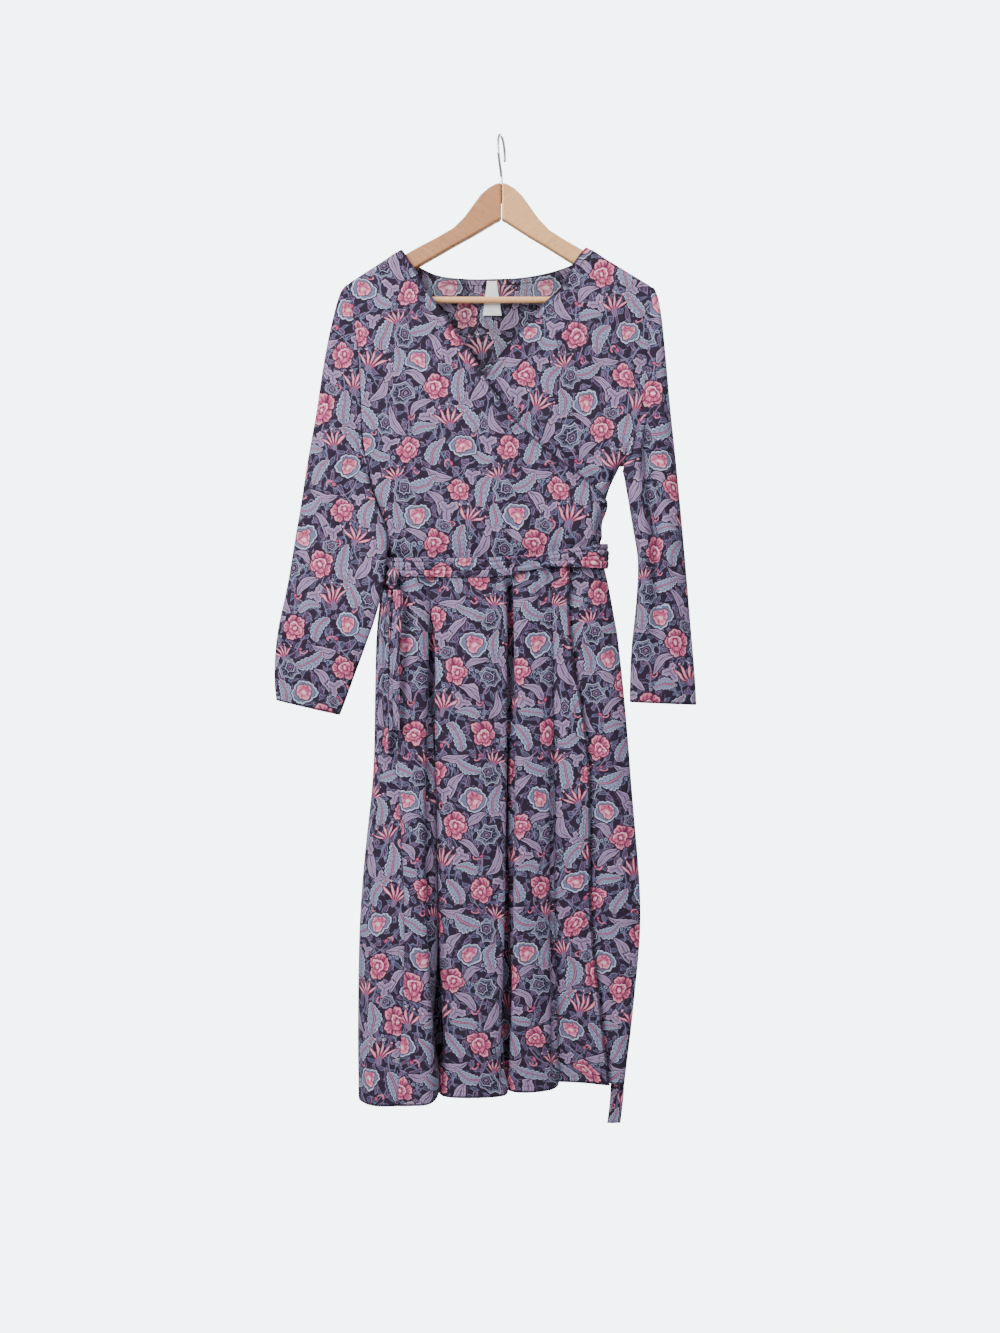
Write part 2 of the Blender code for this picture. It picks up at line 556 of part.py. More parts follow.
def skirt_panel(first, last, per_span, ts):
    """Rows of points across the folds from one named row to another."""
    names = [row[0] for row in SKIRT]
    a, b = names.index(first), names.index(last)
    spans = (b - a) * per_span
    where = [a + i / per_span for i in range(spans + 1)]
    grid = []
    for t in ts:
        curve = spline([Vector(p) for p in skirt_section(t)], where)
        line = []
        for p in curve:
            waist = waist_z(p.x) - SEAM_GAP / 2
            line.append(Vector((p.x, p.y, lerp(waist, HEM_Z, t) + p.z)))
        grid.append(line)
    return grid


def open_seam(grid, end):
    """Draw a panel's edge back along its rows by half the seam gap."""
    for row in grid:
        a, b = (row[0], row[1]) if end == 0 else (row[-1], row[-2])
        a += (b - a).normalized() * (SEAM_GAP / 2)


def build_skirt(cloth, collection):
    ts = (0.0, 0.035, 0.08, 0.14, 0.22, 0.31, 0.42, 0.54, 0.67, 0.8, 0.91, 1.0)
    under = skirt_panel("free_edge", "seam_right", 2, ts)
    back = skirt_panel("seam_right", "seam_left", 2, ts)
    over = skirt_panel("seam_left", "over_edge", 2, ts)
    open_seam(under, 1)
    open_seam(back, 0)
    open_seam(back, 1)
    open_seam(over, 0)
    shell("skirt_front_under", under, cloth, collection, (-40.0, 60.0))
    shell("skirt_back", back, cloth, collection, (0.0, -20.0))
    shell("skirt_front_over", over, cloth, collection, (0.0, 400.0))


# ------------------------------------------------------------------ belt
def build_belt(cloth, collection):
    count = len(BELT)
    loop = [BELT[(i - 1) % count][1:] for i in range(count + 3)]
    where = [1.0 + i / 2.0 for i in range(count * 2)]
    rings = []
    for level, bulge in ((0.0, 0.0), (0.45, 0.8), (1.0, 0.0)):
        pts = [Vector((p[0], p[1], lerp(p[2], p[3], level))) for p in loop]
        ring = spline(pts, where)
        rings.append([p + Vector((0.0, -bulge if p.y < 0 else bulge, 0.0)) for p in ring])
    shell("belt_band", rings, cloth, collection, "row", wrap=True)

    bpy.ops.mesh.primitive_uv_sphere_add(segments=14, ring_count=8, radius=1.0)
    knot = bpy.context.active_object
    knot.name = "belt_knot"
    knot.data.name = "belt_knot"
    for other in list(knot.users_collection):
        other.objects.unlink(knot)
    collection.objects.link(knot)
    for v in knot.data.vertices:
        x, y, z = v.co
        waist = 1.0 - 0.22 * math.exp(-((z + 0.1) / 0.3) ** 2)     # pinched where the ends pass under
        v.co = ((x * waist * KNOT_HALF[0]) * MM, y * KNOT_HALF[1] * MM, z * KNOT_HALF[2] * MM)
    knot.location = Vector(KNOT_CENTRE) * MM
    knot.data.materials.append(cloth)
    knot.data.shade_smooth()

    for name, rows, fold in (("belt_tail_long", TAIL_LONG, 1.4), ("belt_tail_short", TAIL_SHORT, -1.2),
                             ("belt_tail_back", TAIL_BACK, 0.8)):
        where = [i / 2.0 for i in range((len(rows) - 1) * 2 + 1)]
        centre = spline([Vector(r[:3]) for r in rows], where)
        widths = spline([Vector((r[3], r[2] * 0.1, 0.0)) for r in rows], where)
        grid = []
        for c, w in zip(centre, widths):
            half = w.x / 2
            grid.append([c + Vector((-half, 0.0, 0.0)), c + Vector((-half * 0.35, -fold, 0.0)),
                         c + Vector((half * 0.35, fold * 0.4, 0.0)), c + Vector((half, 0.0, 0.0))])
        shell(name, grid, cloth, collection, (0.0, 400.0))


def build_label(mat, collection):
    (x0, x1, z0), (x2, x3, z1) = LABEL_TOP, LABEL_FOOT
    grid = []
    for i in range(5):
        t = i / 4.0
        y = LABEL_Y - 0.5 * math.sin(math.pi * t)
        grid.append([Vector((lerp(lerp(x0, x2, t), lerp(x1, x3, t), u), y, lerp(z0, z1, t)))
                     for u in (0.0, 0.5, 1.0)])
    shell("neck_label", grid, mat, collection, (0.0, 400.0), thickness=LABEL_THICK)


# ------------------------------------------------------------------ hanger
def cylinder(name, radius, start, end, collection, segments=24):
    start, end = Vector(start) * MM, Vector(end) * MM
    axis = end - start
    bpy.ops.mesh.primitive_cylinder_add(vertices=segments, radius=radius * MM, depth=axis.length)
    obj = bpy.context.active_object
    obj.name = name
    obj.data.name = name
    for other in list(obj.users_collection):
        other.objects.unlink(obj)
    collection.objects.link(obj)
    obj.rotation_mode = "QUATERNION"
    obj.rotation_quaternion = Vector((0, 0, 1)).rotation_difference(axis)
    obj.location = (start + end) / 2
    return obj


def hanger_arm(name, side, mat, cutters, collection):
    """Flat wooden arm: outline curve, thickened, edges rounded, then drilled."""
    outline = [(side * x, z - ARM_DROOP[side] * x / 200.0) for x, z in ARM_TOP + ARM_TIP + ARM_UNDER]
    curve = bpy.data.curves.new(name, "CURVE")
    curve.dimensions = "2D"
    curve.fill_mode = "BOTH"
    curve.extrude = ARM_THICK / 2 * MM
    poly = curve.splines.new("POLY")
    poly.points.add(len(outline) - 1)
    for point, (x, z) in zip(poly.points, outline):
        point.co = (x * MM, z * MM, 0.0, 1.0)
    poly.use_cyclic_u = True
    drawn = bpy.data.objects.new(name + "_outline", curve)
    drawn.rotation_euler = (math.radians(90.0), 0.0, 0.0)
    collection.objects.link(drawn)
    bpy.context.view_layer.update()
    mesh = bpy.data.meshes.new_from_object(drawn.evaluated_get(bpy.context.evaluated_depsgraph_get()))
    mesh.transform(drawn.matrix_world)
    bpy.data.objects.remove(drawn, do_unlink=True)
    import bmesh
    bm = bmesh.new()
    bm.from_mesh(mesh)
    bmesh.ops.remove_doubles(bm, verts=bm.verts, dist=0.00001)
    bmesh.ops.recalc_face_normals(bm, faces=bm.faces)
    bm.to_mesh(mesh)
    bm.free()
    mesh.name = name
    mesh.materials.clear()
    mesh.materials.append(mat)
    obj = bpy.data.objects.new(name, mesh)
    collection.objects.link(obj)
    bevel = obj.modifiers.new("rounded_edges", "BEVEL")
    bevel.width = 2.4 * MM
    bevel.segments = 2
    bevel.limit_method = "ANGLE"
    bevel.angle_limit = math.radians(60.0)
    for cutter in cutters:
        cut = obj.modifiers.new("drill_" + cutter.name, "BOOLEAN")
        cut.operation = "DIFFERENCE"
        cut.object = cutter
    mesh.shade_smooth()
    mesh.set_sharp_from_angle(angle=math.radians(35.0))
    return obj


def wire(name, points, mat, collection):
    curve = bpy.data.curves.new(name, "CURVE")
    curve.dimensions = "3D"
    curve.bevel_depth = WIRE_DIA / 2 * MM
    curve.bevel_resolution = 2
    curve.use_fill_caps = True
    poly = curve.splines.new("POLY")
    poly.points.add(len(points) - 1)
    for point, p in zip(poly.points, points):
        point.co = (p[0] * MM, p[1] * MM, p[2] * MM, 1.0)
    curve.materials.append(mat)
    obj = bpy.data.objects.new(name, curve)
    collection.objects.link(obj)
    return obj


def build_hanger(collection, cutting):
    dark = material("wood_dark", WOOD_DARK, 0.45)
    light = material("wood_light", WOOD_LIGHT, 0.42)
    steel = material("hook_steel", STEEL, 0.3, 1.0)

    socket = cylinder("bar_socket", BAR_DIA / 2 + FIT, (-BAR_HALF - FIT, 0, BAR_Z), (BAR_HALF + FIT, 0, BAR_Z), cutting)
    bore = cylinder("hook_bore", WIRE_DIA / 2 + FIT, (0, 0, -92.0), (0, 0, -50.0), cutting, 16)
    for cutter in (socket, bore):
        cutter.hide_render = True
        cutter.display_type = "WIRE"

    hanger_arm("hanger_arm_left", -1, dark, (socket, bore), collection)
    hanger_arm("hanger_arm_right", 1, light, (socket, bore), collection)

    bar = cylinder("hanger_bar", BAR_DIA / 2, (-BAR_HALF, 0, BAR_Z), (BAR_HALF, 0, BAR_Z), collection, 20)
    bar.data.materials.append(light)
    bar.data.shade_smooth()
    bar.data.set_sharp_from_angle(angle=math.radians(35.0))

    # hook: up from the joint, forward round the bend and down behind
    top = WIRE_DIA / 2
    centre_z = top - HOOK_RADIUS
    turn = math.radians(HOOK_TURN)
    route = [(0.0, -91.0), (0.0, -74.0), (0.0, -60.0), (-0.8, -54.5), (-3.6, -49.5), (-9.0, -43.8),
             (-15.0, -36.8), (-19.6, -29.0)]
    route += [(HOOK_RADIUS * math.sin(math.radians(a)), centre_z + HOOK_RADIUS * math.cos(math.radians(a)))
              for a in range(-90, 111, 12)]
    wire("hanger_hook", [(y * math.sin(turn), y * math.cos(turn), z) for y, z in route], steel, collection)


# ------------------------------------------------------------------ assembly
def main():
    clear_scene()
    collection = bpy.data.collections.new("wrap_dress_on_hanger")
    cutting = bpy.data.collections.new("cutters")
    bpy.context.scene.collection.children.link(collection)
    bpy.context.scene.collection.children.link(cutting)

    cloth = material("printed_cloth", PRINT_GROUND, 0.85)
    label = material("label_tape", LABEL_WHITE, 0.8)

    over, under, back = build_bodice(cloth, collection)
    build_sleeve("sleeve_left", SLEEVE_LEFT, over, back, 0, -1.0, cloth, collection)
    build_sleeve("sleeve_right", SLEEVE_RIGHT, under, back, -1, 1.0, cloth, collection)
    build_skirt(cloth, collection)
    build_belt(cloth, collection)
    build_label(label, collection)
    build_hanger(collection, cutting)


main()
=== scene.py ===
"""Looks of the wrap dress on its wooden hanger.  Lengths are millimetres until
a mesh is made; the frame and every mesh are in metres."""
import math

import bmesh
import bpy
import numpy as np
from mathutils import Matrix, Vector


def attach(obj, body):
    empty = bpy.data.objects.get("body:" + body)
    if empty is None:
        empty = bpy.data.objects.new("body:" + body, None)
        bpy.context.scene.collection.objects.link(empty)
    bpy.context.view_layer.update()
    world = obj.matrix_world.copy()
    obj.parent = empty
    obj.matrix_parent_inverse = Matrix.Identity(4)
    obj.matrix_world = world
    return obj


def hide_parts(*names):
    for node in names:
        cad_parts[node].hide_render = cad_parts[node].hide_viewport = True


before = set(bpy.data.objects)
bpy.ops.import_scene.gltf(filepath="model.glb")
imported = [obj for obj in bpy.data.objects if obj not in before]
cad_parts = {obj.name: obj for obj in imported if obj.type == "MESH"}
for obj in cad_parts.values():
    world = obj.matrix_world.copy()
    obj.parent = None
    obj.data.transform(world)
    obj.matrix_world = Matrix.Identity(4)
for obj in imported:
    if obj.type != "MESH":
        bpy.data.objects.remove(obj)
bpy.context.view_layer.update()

MM = 0.001
WALL = 0.9             # visible cloth, thinner than the wall that stands for it
SKIN = 0.30            # how far its inner face stands off the wall's inner face

WAIST_LEFT_Z = -602.0  # the waist seam slopes up to the right
WAIST_RIGHT_Z = -587.0
WAIST_LEFT_X = -166.0
WAIST_RIGHT_X = 139.0
HEM_Z = -1342.0

# Depth of the cloth in front of and behind the hanger's plane, by height.
#            z      over  under  back
DEPTHS = [(-150.0,  8.8,  8.8,   8.8),
          (-200.0, 10.0,  9.6,  10.0),
          (-300.0, 15.5, 11.4,  11.0),
          (-400.0, 21.0, 14.0,  12.0),
          (-500.0, 25.5, 15.8,  14.0),
          (-560.0, 26.0, 16.5,  16.0),
          (-605.0, 22.0, 14.0,  17.0)]
BLOUSE = (21.0, 38.0, 21.5)    # below the first height over the waist seam the
                               # front is held in to the last depth by the belt

# Shoulder seams: neck point to shoulder point.
NECK_LEFT, SHOULDER_LEFT = (-141.0, -157.0), (-213.5, -203.5)
NECK_RIGHT, SHOULDER_RIGHT = (119.5, -154.0), (209.5, -208.0)

# Armholes and side seams, shoulder point down to the waist.
#                    name        x       z
SIDE_LEFT = [("shoulder",    -213.5, -203.5),
             ("cap",         -206.5, -250.0),
             ("chest",       -200.0, -300.0),
             ("chest_low",   -196.0, -352.0),
             ("armhole_low", -192.5, -420.0),
             ("armpit",      -186.0, -466.0),
             ("under_arm",   -183.5, -489.0),
             ("side_high",   -177.0, -509.0),
             ("side_mid",    -167.0, -535.0),
             ("side_low",    -163.5, -566.0),
             ("waist",       -166.0, -601.5)]
SIDE_RIGHT = [("shoulder",    209.5, -208.0),
              ("cap",         206.0, -256.0),
              ("chest",       203.0, -306.0),
              ("chest_low",   198.0, -356.0),
              ("armhole_low", 187.0, -409.0),
              ("armpit",      169.5, -450.0),
              ("side_high",   151.0, -490.0),
              ("side_mid",    140.5, -530.0),
              ("side_low",    136.5, -562.0),
              ("waist",       139.0, -586.5)]
# Crossing edges of the two fronts, neck point down to the waist.
OVER_EDGE = [("neck",        -141.0, -157.0),
             ("collarbone",  -124.5, -183.0),
             ("turn",         -96.0, -229.0),
             ("chest",        -64.5, -274.0),
             ("bust",         -36.0, -316.0),
             ("crossing",     -10.0, -361.0),
             ("below",         20.0, -400.0),
             ("flank",         72.0, -445.0),
             ("side",         126.0, -488.0),
             ("wrap",         148.5, -512.0),
             ("wrap_mid",     144.0, -542.0),
             ("waist",        143.5, -586.5)]
UNDER_EDGE = [("neck",        119.5, -154.0),
              ("collarbone",  102.5, -176.0),
              ("turn",         87.0, -207.0),
              ("chest",        58.0, -236.0),
              ("bust",         26.0, -273.0),
              ("crossing",     -2.0, -306.0),
              ("below",       -24.0, -338.0),
              ("hidden_high", -58.0, -410.0),
              ("hidden_low",  -88.0, -500.0),
              ("waist",      -104.0, -598.0)]
# Back: the top edge from shoulder to shoulder, with the scooped neck.
BACK_TOP = [("shoulder_left", -213.5, -203.5),
            ("mid_left",      -177.0, -180.0),
            ("neck_left",     -141.0, -157.0),
            ("scoop_left",    -124.0, -171.0),
            ("scoop_2",        -92.0, -187.0),
            ("scoop_3",        -50.0, -192.5),
            ("nape",           -10.0, -192.5),
            ("scoop_5",         30.0, -190.5),
            ("scoop_6",         74.0, -182.0),
            ("scoop_right",    104.0, -170.0),
            ("neck_right",     119.5, -154.0),
            ("mid_right",      164.0, -181.0),
            ("shoulder_right", 209.5, -208.0)]

# Skirt: one strip of cloth seen from above, wound from the hidden free edge of
# the under front, round the right side, along the back, round the left side
# and across the front to the free edge of the over front.  Each row is a crest
# or a valley of a fold; its plan position is given at five heights, as a
# fraction of the way from waist to hem, with the drop of the hem there.
SKIRT_LEVELS = (0.0, 0.14, 0.37, 0.68, 1.0)
#          fold          waist          hip            thigh          knee           hem        drop
SKIRT = [("free_edge",  (-122, -12.5), (-120, -16.0), (-117, -20.0), (-114, -25.0), (-112, -26.0), 0),
         ("behind_v1",  (-101,  -8.5), ( -99,  -6.0), ( -94,  -3.0), ( -90,   5.0), ( -87,  13.0), 0),
         ("behind_2",   ( -42, -13.0), ( -42, -15.0), ( -42, -17.0), ( -44, -18.0), ( -44, -15.0), 0),
         ("behind_v2",  (  13,  -5.0), (  13,  -2.0), (   9,   0.0), (   6,   3.0), (   6,   8.0), 0),
         ("behind_3",   (  36, -13.0), (  37, -15.0), (  36, -15.0), (  36, -11.0), (  38,  -2.0), 0),
         ("behind_v3",  (  69,  -9.0), (  70,  -8.0), (  72,  -4.0), (  76,   6.0), (  80,  17.0), 0),
         ("tuck",       ( 100, -12.5), ( 104, -15.0), ( 128, -11.0), ( 137,   0.0), ( 154,  12.0), 0),
         ("strip",      ( 124, -13.5), ( 136, -15.5), ( 158, -13.0), ( 172,  -7.0), ( 170,   5.0), 0),
         ("turn_right", ( 142,   0.0), ( 162,   0.0), ( 180,   0.0), ( 198,   2.0), ( 178,  12.0), 0),
         ("seam_right", ( 126,  14.0), ( 142,  16.0), ( 161,  18.0), ( 177,  21.0), ( 163,  25.0), 0),
         ("back_1",     ( 100,  19.0), ( 108,  26.0), ( 122,  31.0), ( 134,  36.0), ( 131,  40.0), 0),
         ("back_v1",    (  74,  12.5), (  76,  15.0), (  80,  18.0), (  84,  23.0), (  86,  28.0), 3),
         ("back_2",     (  46,  19.5), (  46,  26.0), (  48,  31.0), (  50,  37.0), (  50,  42.0), 0),
         ("back_v2",    (  18,  12.5), (  16,  14.0), (  14,  17.0), (  12,  22.0), (  12,  27.0), 3),
         ("back_3",     ( -12,  20.0), ( -14,  27.0), ( -18,  32.0), ( -22,  37.0), ( -24,  41.0), 0),
         ("back_v3",    ( -46,  13.5), ( -49,  16.0), ( -53,  19.0), ( -58,  24.0), ( -62,  28.0), 3),
         ("back_4",     ( -80,  19.0), ( -85,  25.0), ( -92,  30.0), ( -98,  34.0), (-103,  38.0), 0),
         ("back_v4",    (-116,  14.0), (-120,  17.0), (-127,  19.0), (-135,  22.0), (-141,  25.0), 2),
         ("back_5",     (-148,  13.5), (-153,  16.0), (-158,  17.0), (-174,  17.0), (-182,  14.0), -2),
         ("turn_left",  (-166,  -3.0), (-176,  -5.0), (-180,  -8.0), (-200, -12.0), (-201, -24.0), -6),
         ("round_left", (-157, -16.5), (-163, -22.0), (-166, -30.0), (-174, -42.0), (-177, -55.0), -4),
         ("seam_left",  (-145, -20.5), (-145, -28.0), (-143, -39.0), (-134, -50.0), (-143, -61.0), -2),
         ("crest_1",    (-121, -24.0), (-121, -32.0), (-119, -44.0), (-114, -54.0), (-114, -62.0), 0),
         ("valley_1",   (-101, -16.0), ( -99, -14.0), ( -94, -11.0), ( -90,  -3.0), ( -88,   4.0), 8),
         ("crest_2",    ( -78, -24.0), ( -76, -29.0), ( -71, -33.0), ( -68, -34.0), ( -69, -31.0), 0),
         ("crest_2b",   ( -34, -24.5), ( -33, -32.0), ( -35, -37.0), ( -38, -39.0), ( -40, -39.0), 0),
         ("brow_2",     (  -2, -22.0), (  -4, -28.0), (  -7, -31.0), (  -8, -32.0), (  -9, -30.0), 0),
         ("valley_2",   (  13, -12.5), (  13, -10.0), (   9,  -8.0), (   7,  -6.0), (   7,  -3.0), 2),
         ("crest_3",    (  32, -23.5), (  34, -29.0), (  33, -32.0), (  31, -29.0), (  32, -21.0), 0),
         ("brow_3",     (  56, -21.5), (  57, -26.0), (  58, -27.0), (  61, -20.0), (  64, -13.0), 0),
         ("valley_3",   (  70, -17.0), (  72, -17.0), (  74, -13.0), (  78,  -3.0), (  82,   7.0), 3),
         ("crest_4",    (  82, -20.5), (  85, -23.0), (  98, -20.0), ( 105,  -8.0), ( 116,   8.0), 2),
         ("over_edge",  (  93, -20.0), (  97, -22.5), ( 121, -18.0), ( 127,  -7.5), ( 154,   3.0), 0)]

# Sleeves: rings from the armhole to the cuff.  outer is the point on the
# sleeve's outside fold, inner the one on its inside fold; half is the half
# depth, crease a lengthwise fold sunk into the front of the ring, and bow how
# far the ring curves outward past the straight line from outer to inner.
#                outer x   z     y    inner x   z     y   half crease bow
SLEEVE_LEFT = [("cap",    -226, -221,   0,  -190, -489,  -1, 17.0,  0.0,  0.0),
               ("head",   -237, -262,   0,  -189, -500,  -3, 16.0,  0.0,  0.0),
               ("upper",  -248, -316,  -1,  -185, -514,  -8, 14.5,  1.5,  0.0),
               ("biceps", -259, -386,  -3,  -174, -534, -18, 13.0,  3.0,  0.0),
               ("crook",  -272, -456,  -5,  -165, -567, -31, 12.0,  4.0,  0.0),
               ("elbow",  -286, -540,  -7,  -163, -608, -36, 11.5,  4.0,  0.0),
               ("fore",   -301, -632,  -9,  -174, -662, -35, 10.5,  3.0,  0.0),
               ("lower",  -313, -692, -10,  -189, -706, -29,  9.5,  2.0,  0.0),
               ("wrist",  -318, -745,  -9,  -209, -756, -21,  8.5,  1.0,  0.0),
               ("cuff",   -317, -786,  -8,  -228, -806, -15,  8.0,  0.0,  0.0)]
SLEEVE_RIGHT = [("cap",    221, -238,   0,   182, -458,   0, 18.0,  0.0,  8.0),
                ("head",   229, -302,   2,   179, -482,  -3, 20.0,  5.0,  4.0),
                ("upper",  236, -371,   4,   181, -510,  -6, 22.0, 12.0,  1.0),
                ("biceps", 245, -456,   6,   187, -548,  -7, 27.0, 16.0,  0.0),
                ("elbow",  254, -547,   7,   193, -592,  -8, 29.0, 17.0,  0.0),
                ("fore",   263, -637,   6,   191, -650,  -7, 24.0, 10.0,  0.0),
                ("wrist",  270, -715,   3,   185, -718,  -5, 14.0,  3.0,  0.0),
                ("cuff",   275.5, -793, 0,   183, -789,  -3,  8.0,  0.0,  0.0)]
CREASE_PLACE = 0.62    # where the crease lies, from outer (0) to inner (1)
CREASE_WIDTH = 0.17

# Belt: a soft strip round the waist.  Plan position and the strip's top and
# bottom edge at each turn; it is crushed narrow across the front.
#             place         x      y       top      bottom
BELT = [("knot_side",    -150.0, -27.0, -588.0, -614.5),
        ("front_1",      -110.0, -28.5, -588.5, -614.5),
        ("front_2",       -60.0, -29.0, -589.0, -614.5),
        ("front_3",       -15.0, -29.0, -588.5, -614.0),
        ("cross",          12.0, -29.5, -586.0, -611.0),
        ("front_4",        45.0, -29.0, -583.5, -604.0),
        ("front_5",        80.0, -28.0, -578.5, -600.5),
        ("front_6",       112.0, -28.0, -573.0, -601.0),
        ("corner_1",      136.0, -24.0, -569.0, -602.0),
        ("side_right",    148.5,  -5.0, -568.0, -602.0),
        ("corner_2",      140.0,  14.5, -568.0, -602.0),
        ("back_1",        108.0,  24.0, -570.0, -602.0),
        ("back_2",         50.0,  25.5, -575.0, -606.0),
        ("back_3",        -10.0,  25.5, -579.0, -609.0),
        ("back_4",        -70.0,  25.0, -582.0, -612.0),
        ("back_5",       -120.0,  24.0, -585.0, -615.0),
        ("corner_3",     -160.0,  19.5, -586.5, -616.0),
        ("side_left",    -174.5,  -2.0, -587.0, -616.0),
        ("corner_4",     -167.0, -20.0, -587.5, -615.0)]
KNOT_CENTRE = (-150.5, -38.5, -617.0)
KNOT_HALF = (8.5, 7.0, 15.0)
# Free ends: centre line with the strip's width.
#                x      y       z     width
TAIL_LONG = [(-157.0, -41.0, -633.5, 10.0),
             (-159.5, -43.0, -660.0, 12.0),
             (-163.0, -46.0, -710.0, 14.0),
             (-163.5, -48.5, -770.0, 14.5),
             (-163.0, -51.0, -830.0, 15.0),
             (-163.0, -52.0, -858.0, 15.0)]
TAIL_SHORT = [(-144.5, -40.0, -633.5, 9.0),
              (-143.5, -43.0, -660.0, 12.0),
              (-146.0, -47.5, -710.0, 13.0),
              (-147.0, -50.5, -770.0, 13.5),
              (-147.0, -53.5, -826.0, 14.0)]
TAIL_BACK = [(120.0, 26.0, -603.2, 22.0),
             (130.0, 27.5, -650.0, 23.0),
             (139.0, 31.5, -740.0, 24.0),
             (151.0, 34.5, -870.0, 24.0),
             (166.0, 35.5, -1090.0, 24.0),
             (170.5, 36.5, -1230.0, 23.0),
             (171.0, 36.0, -1342.0, 20.0),
             (168.0, 34.5, -1385.0, 19.5),
             (165.0, 33.5, -1411.0, 19.5)]

# Neck label: tapers wider to its foot.
LABEL_TOP = (-20.5, -7.0, -196.5)
LABEL_FOOT = (-26.5, 0.5, -245.0)
LABEL_Y = 8.0
LABEL_THICK = 0.8


# ------------------------------------------------------------------ curves
def lerp(a, b, t):
    return a + (b - a) * t


def smooth(t):
    t = np.clip(t, 0.0, 1.0)
    return t * t * (3.0 - 2.0 * t)


def spline(points, where):
    """Centripetal Catmull-Rom through points (or rings of points)."""
    p = np.asarray(points, float)
    p = np.concatenate([2 * p[:1] - p[1:2], p, 2 * p[-1:] - p[-2:-1]])
    where = np.asarray(where, float)
    k = np.clip(where.astype(int), 0, len(points) - 2)
    gaps = p[1:] - p[:-1]
    gaps = np.sqrt((gaps ** 2).sum(axis=-1))
    while gaps.ndim > 1:
        gaps = gaps.mean(axis=-1)
    knot = np.sqrt(np.maximum(gaps, 1e-6))
    shape = (-1,) + (1,) * (p.ndim - 1)
    t1 = knot[k]
    t2 = t1 + knot[k + 1]
    t3 = t2 + knot[k + 2]
    t = (t1 + (t2 - t1) * (where - k)).reshape(shape)
    t1, t2, t3 = t1.reshape(shape), t2.reshape(shape), t3.reshape(shape)
    p0, p1, p2, p3 = p[k], p[k + 1], p[k + 2], p[k + 3]
    a1 = p0 * ((t1 - t) / t1) + p1 * (t / t1)
    a2 = p1 * ((t2 - t) / (t2 - t1)) + p2 * ((t - t1) / (t2 - t1))
    a3 = p2 * ((t3 - t) / (t3 - t2)) + p3 * ((t - t2) / (t3 - t2))
    b1 = a1 * ((t2 - t) / t2) + a2 * (t / t2)
    b2 = a2 * ((t3 - t) / (t3 - t1)) + a3 * ((t - t1) / (t3 - t1))
    return b1 * ((t2 - t) / (t2 - t1)) + b2 * ((t - t1) / (t2 - t1))


def measured(points):
    """Distance along a polyline (or the mean line of a row of rings)."""
    step = np.sqrt((np.diff(points, axis=0) ** 2).sum(axis=-1))
    while step.ndim > 1:
        step = step.mean(axis=-1)
    return np.concatenate([[0.0], np.cumsum(step)])


def at_fraction(points, fractions):
    """Points at fractions of a polyline's length."""
    length = measured(points)
    goal = np.asarray(fractions) * length[-1]
    return np.stack([np.interp(goal, length, points[:, c]) for c in range(points.shape[1])], axis=-1)


def named(rows):
    return [row[1:] for row in rows]


def dense(points, per_span=24):
    return spline(points, np.linspace(0, len(points) - 1, (len(points) - 1) * per_span + 1))


def round_over(distance, radius):
    t = np.clip(distance / radius, 0.0, 1.0)
    return np.sqrt(1.0 - (1.0 - t) ** 2)


def spread(count, power=1.0):
    """0 to 1, closer together near 0 for a power over 1."""
    return np.linspace(0.0, 1.0, count) ** power


def spread_both(count, power):
    half = spread(count // 2 + 1, power) / 2
    return np.concatenate([half, 1.0 - half[-2::-1]])


# ------------------------------------------------------------------ creases
def wander(x, seed, scale):
    """Smooth uneven wave of about one unit, worked out from sines."""
    rng = np.random.default_rng(seed)
    out = np.zeros_like(x, float)
    for k in range(5):
        out += np.sin(x / scale * rng.uniform(0.5, 1.9) + rng.uniform(0, 6.28)) * rng.uniform(0.5, 1.0)
    return out / 2.6


def crumple(u, v, seed, size_u, size_v, count=14):
    """Soft uneven dents over a cloth, about one unit high."""
    rng = np.random.default_rng(seed)
    out = np.zeros_like(u, float)
    for k in range(count):
        a = rng.uniform(-1.0, 1.0) / size_u * 6.28
        b = rng.uniform(-1.0, 1.0) / size_v * 6.28
        out += np.sin(a * u + b * v + rng.uniform(0, 6.28))
    return out / math.sqrt(count) * 0.9


def crease(u, v, path, high, wide, start=0.25, end=0.35, sharp=1.0):
    """Ridge (or trough, when high is negative) along a path drawn in u, v."""
    line = dense(np.asarray(path, float), 10)
    along = measured(line) / max(measured(line)[-1], 1e-6)
    best = np.full(u.shape, 1e9)
    place = np.zeros(u.shape)
    near = ((u > line[:, 0].min() - 4 * wide) & (u < line[:, 0].max() + 4 * wide)
            & (v > line[:, 1].min() - 4 * wide) & (v < line[:, 1].max() + 4 * wide))
    if not near.any():
        return np.zeros(u.shape)
    pu, pv = u[near], v[near]
    b, s = np.full(pu.shape, 1e9), np.zeros(pu.shape)
    for (x0, y0), (x1, y1), s0, s1 in zip(line[:-1], line[1:], along[:-1], along[1:]):
        dx, dy = x1 - x0, y1 - y0
        t = np.clip(((pu - x0) * dx + (pv - y0) * dy) / max(dx * dx + dy * dy, 1e-9), 0, 1)
        d = (pu - x0 - t * dx) ** 2 + (pv - y0 - t * dy) ** 2
        closer = d < b
        b = np.where(closer, d, b)
        s = np.where(closer, lerp(s0, s1, t), s)
    fade = smooth(s / max(start, 1e-3)) * smooth((1.0 - s) / max(end, 1e-3))
    taper = wide * (0.65 + 0.5 * s)
    r = np.sqrt(b) / taper
    out = np.zeros(u.shape)
    out[near] = high * fade * (np.exp(-r ** 2) if sharp <= 1.0 else np.exp(-np.abs(r) ** (2.0 / sharp) * 1.2))
    return out


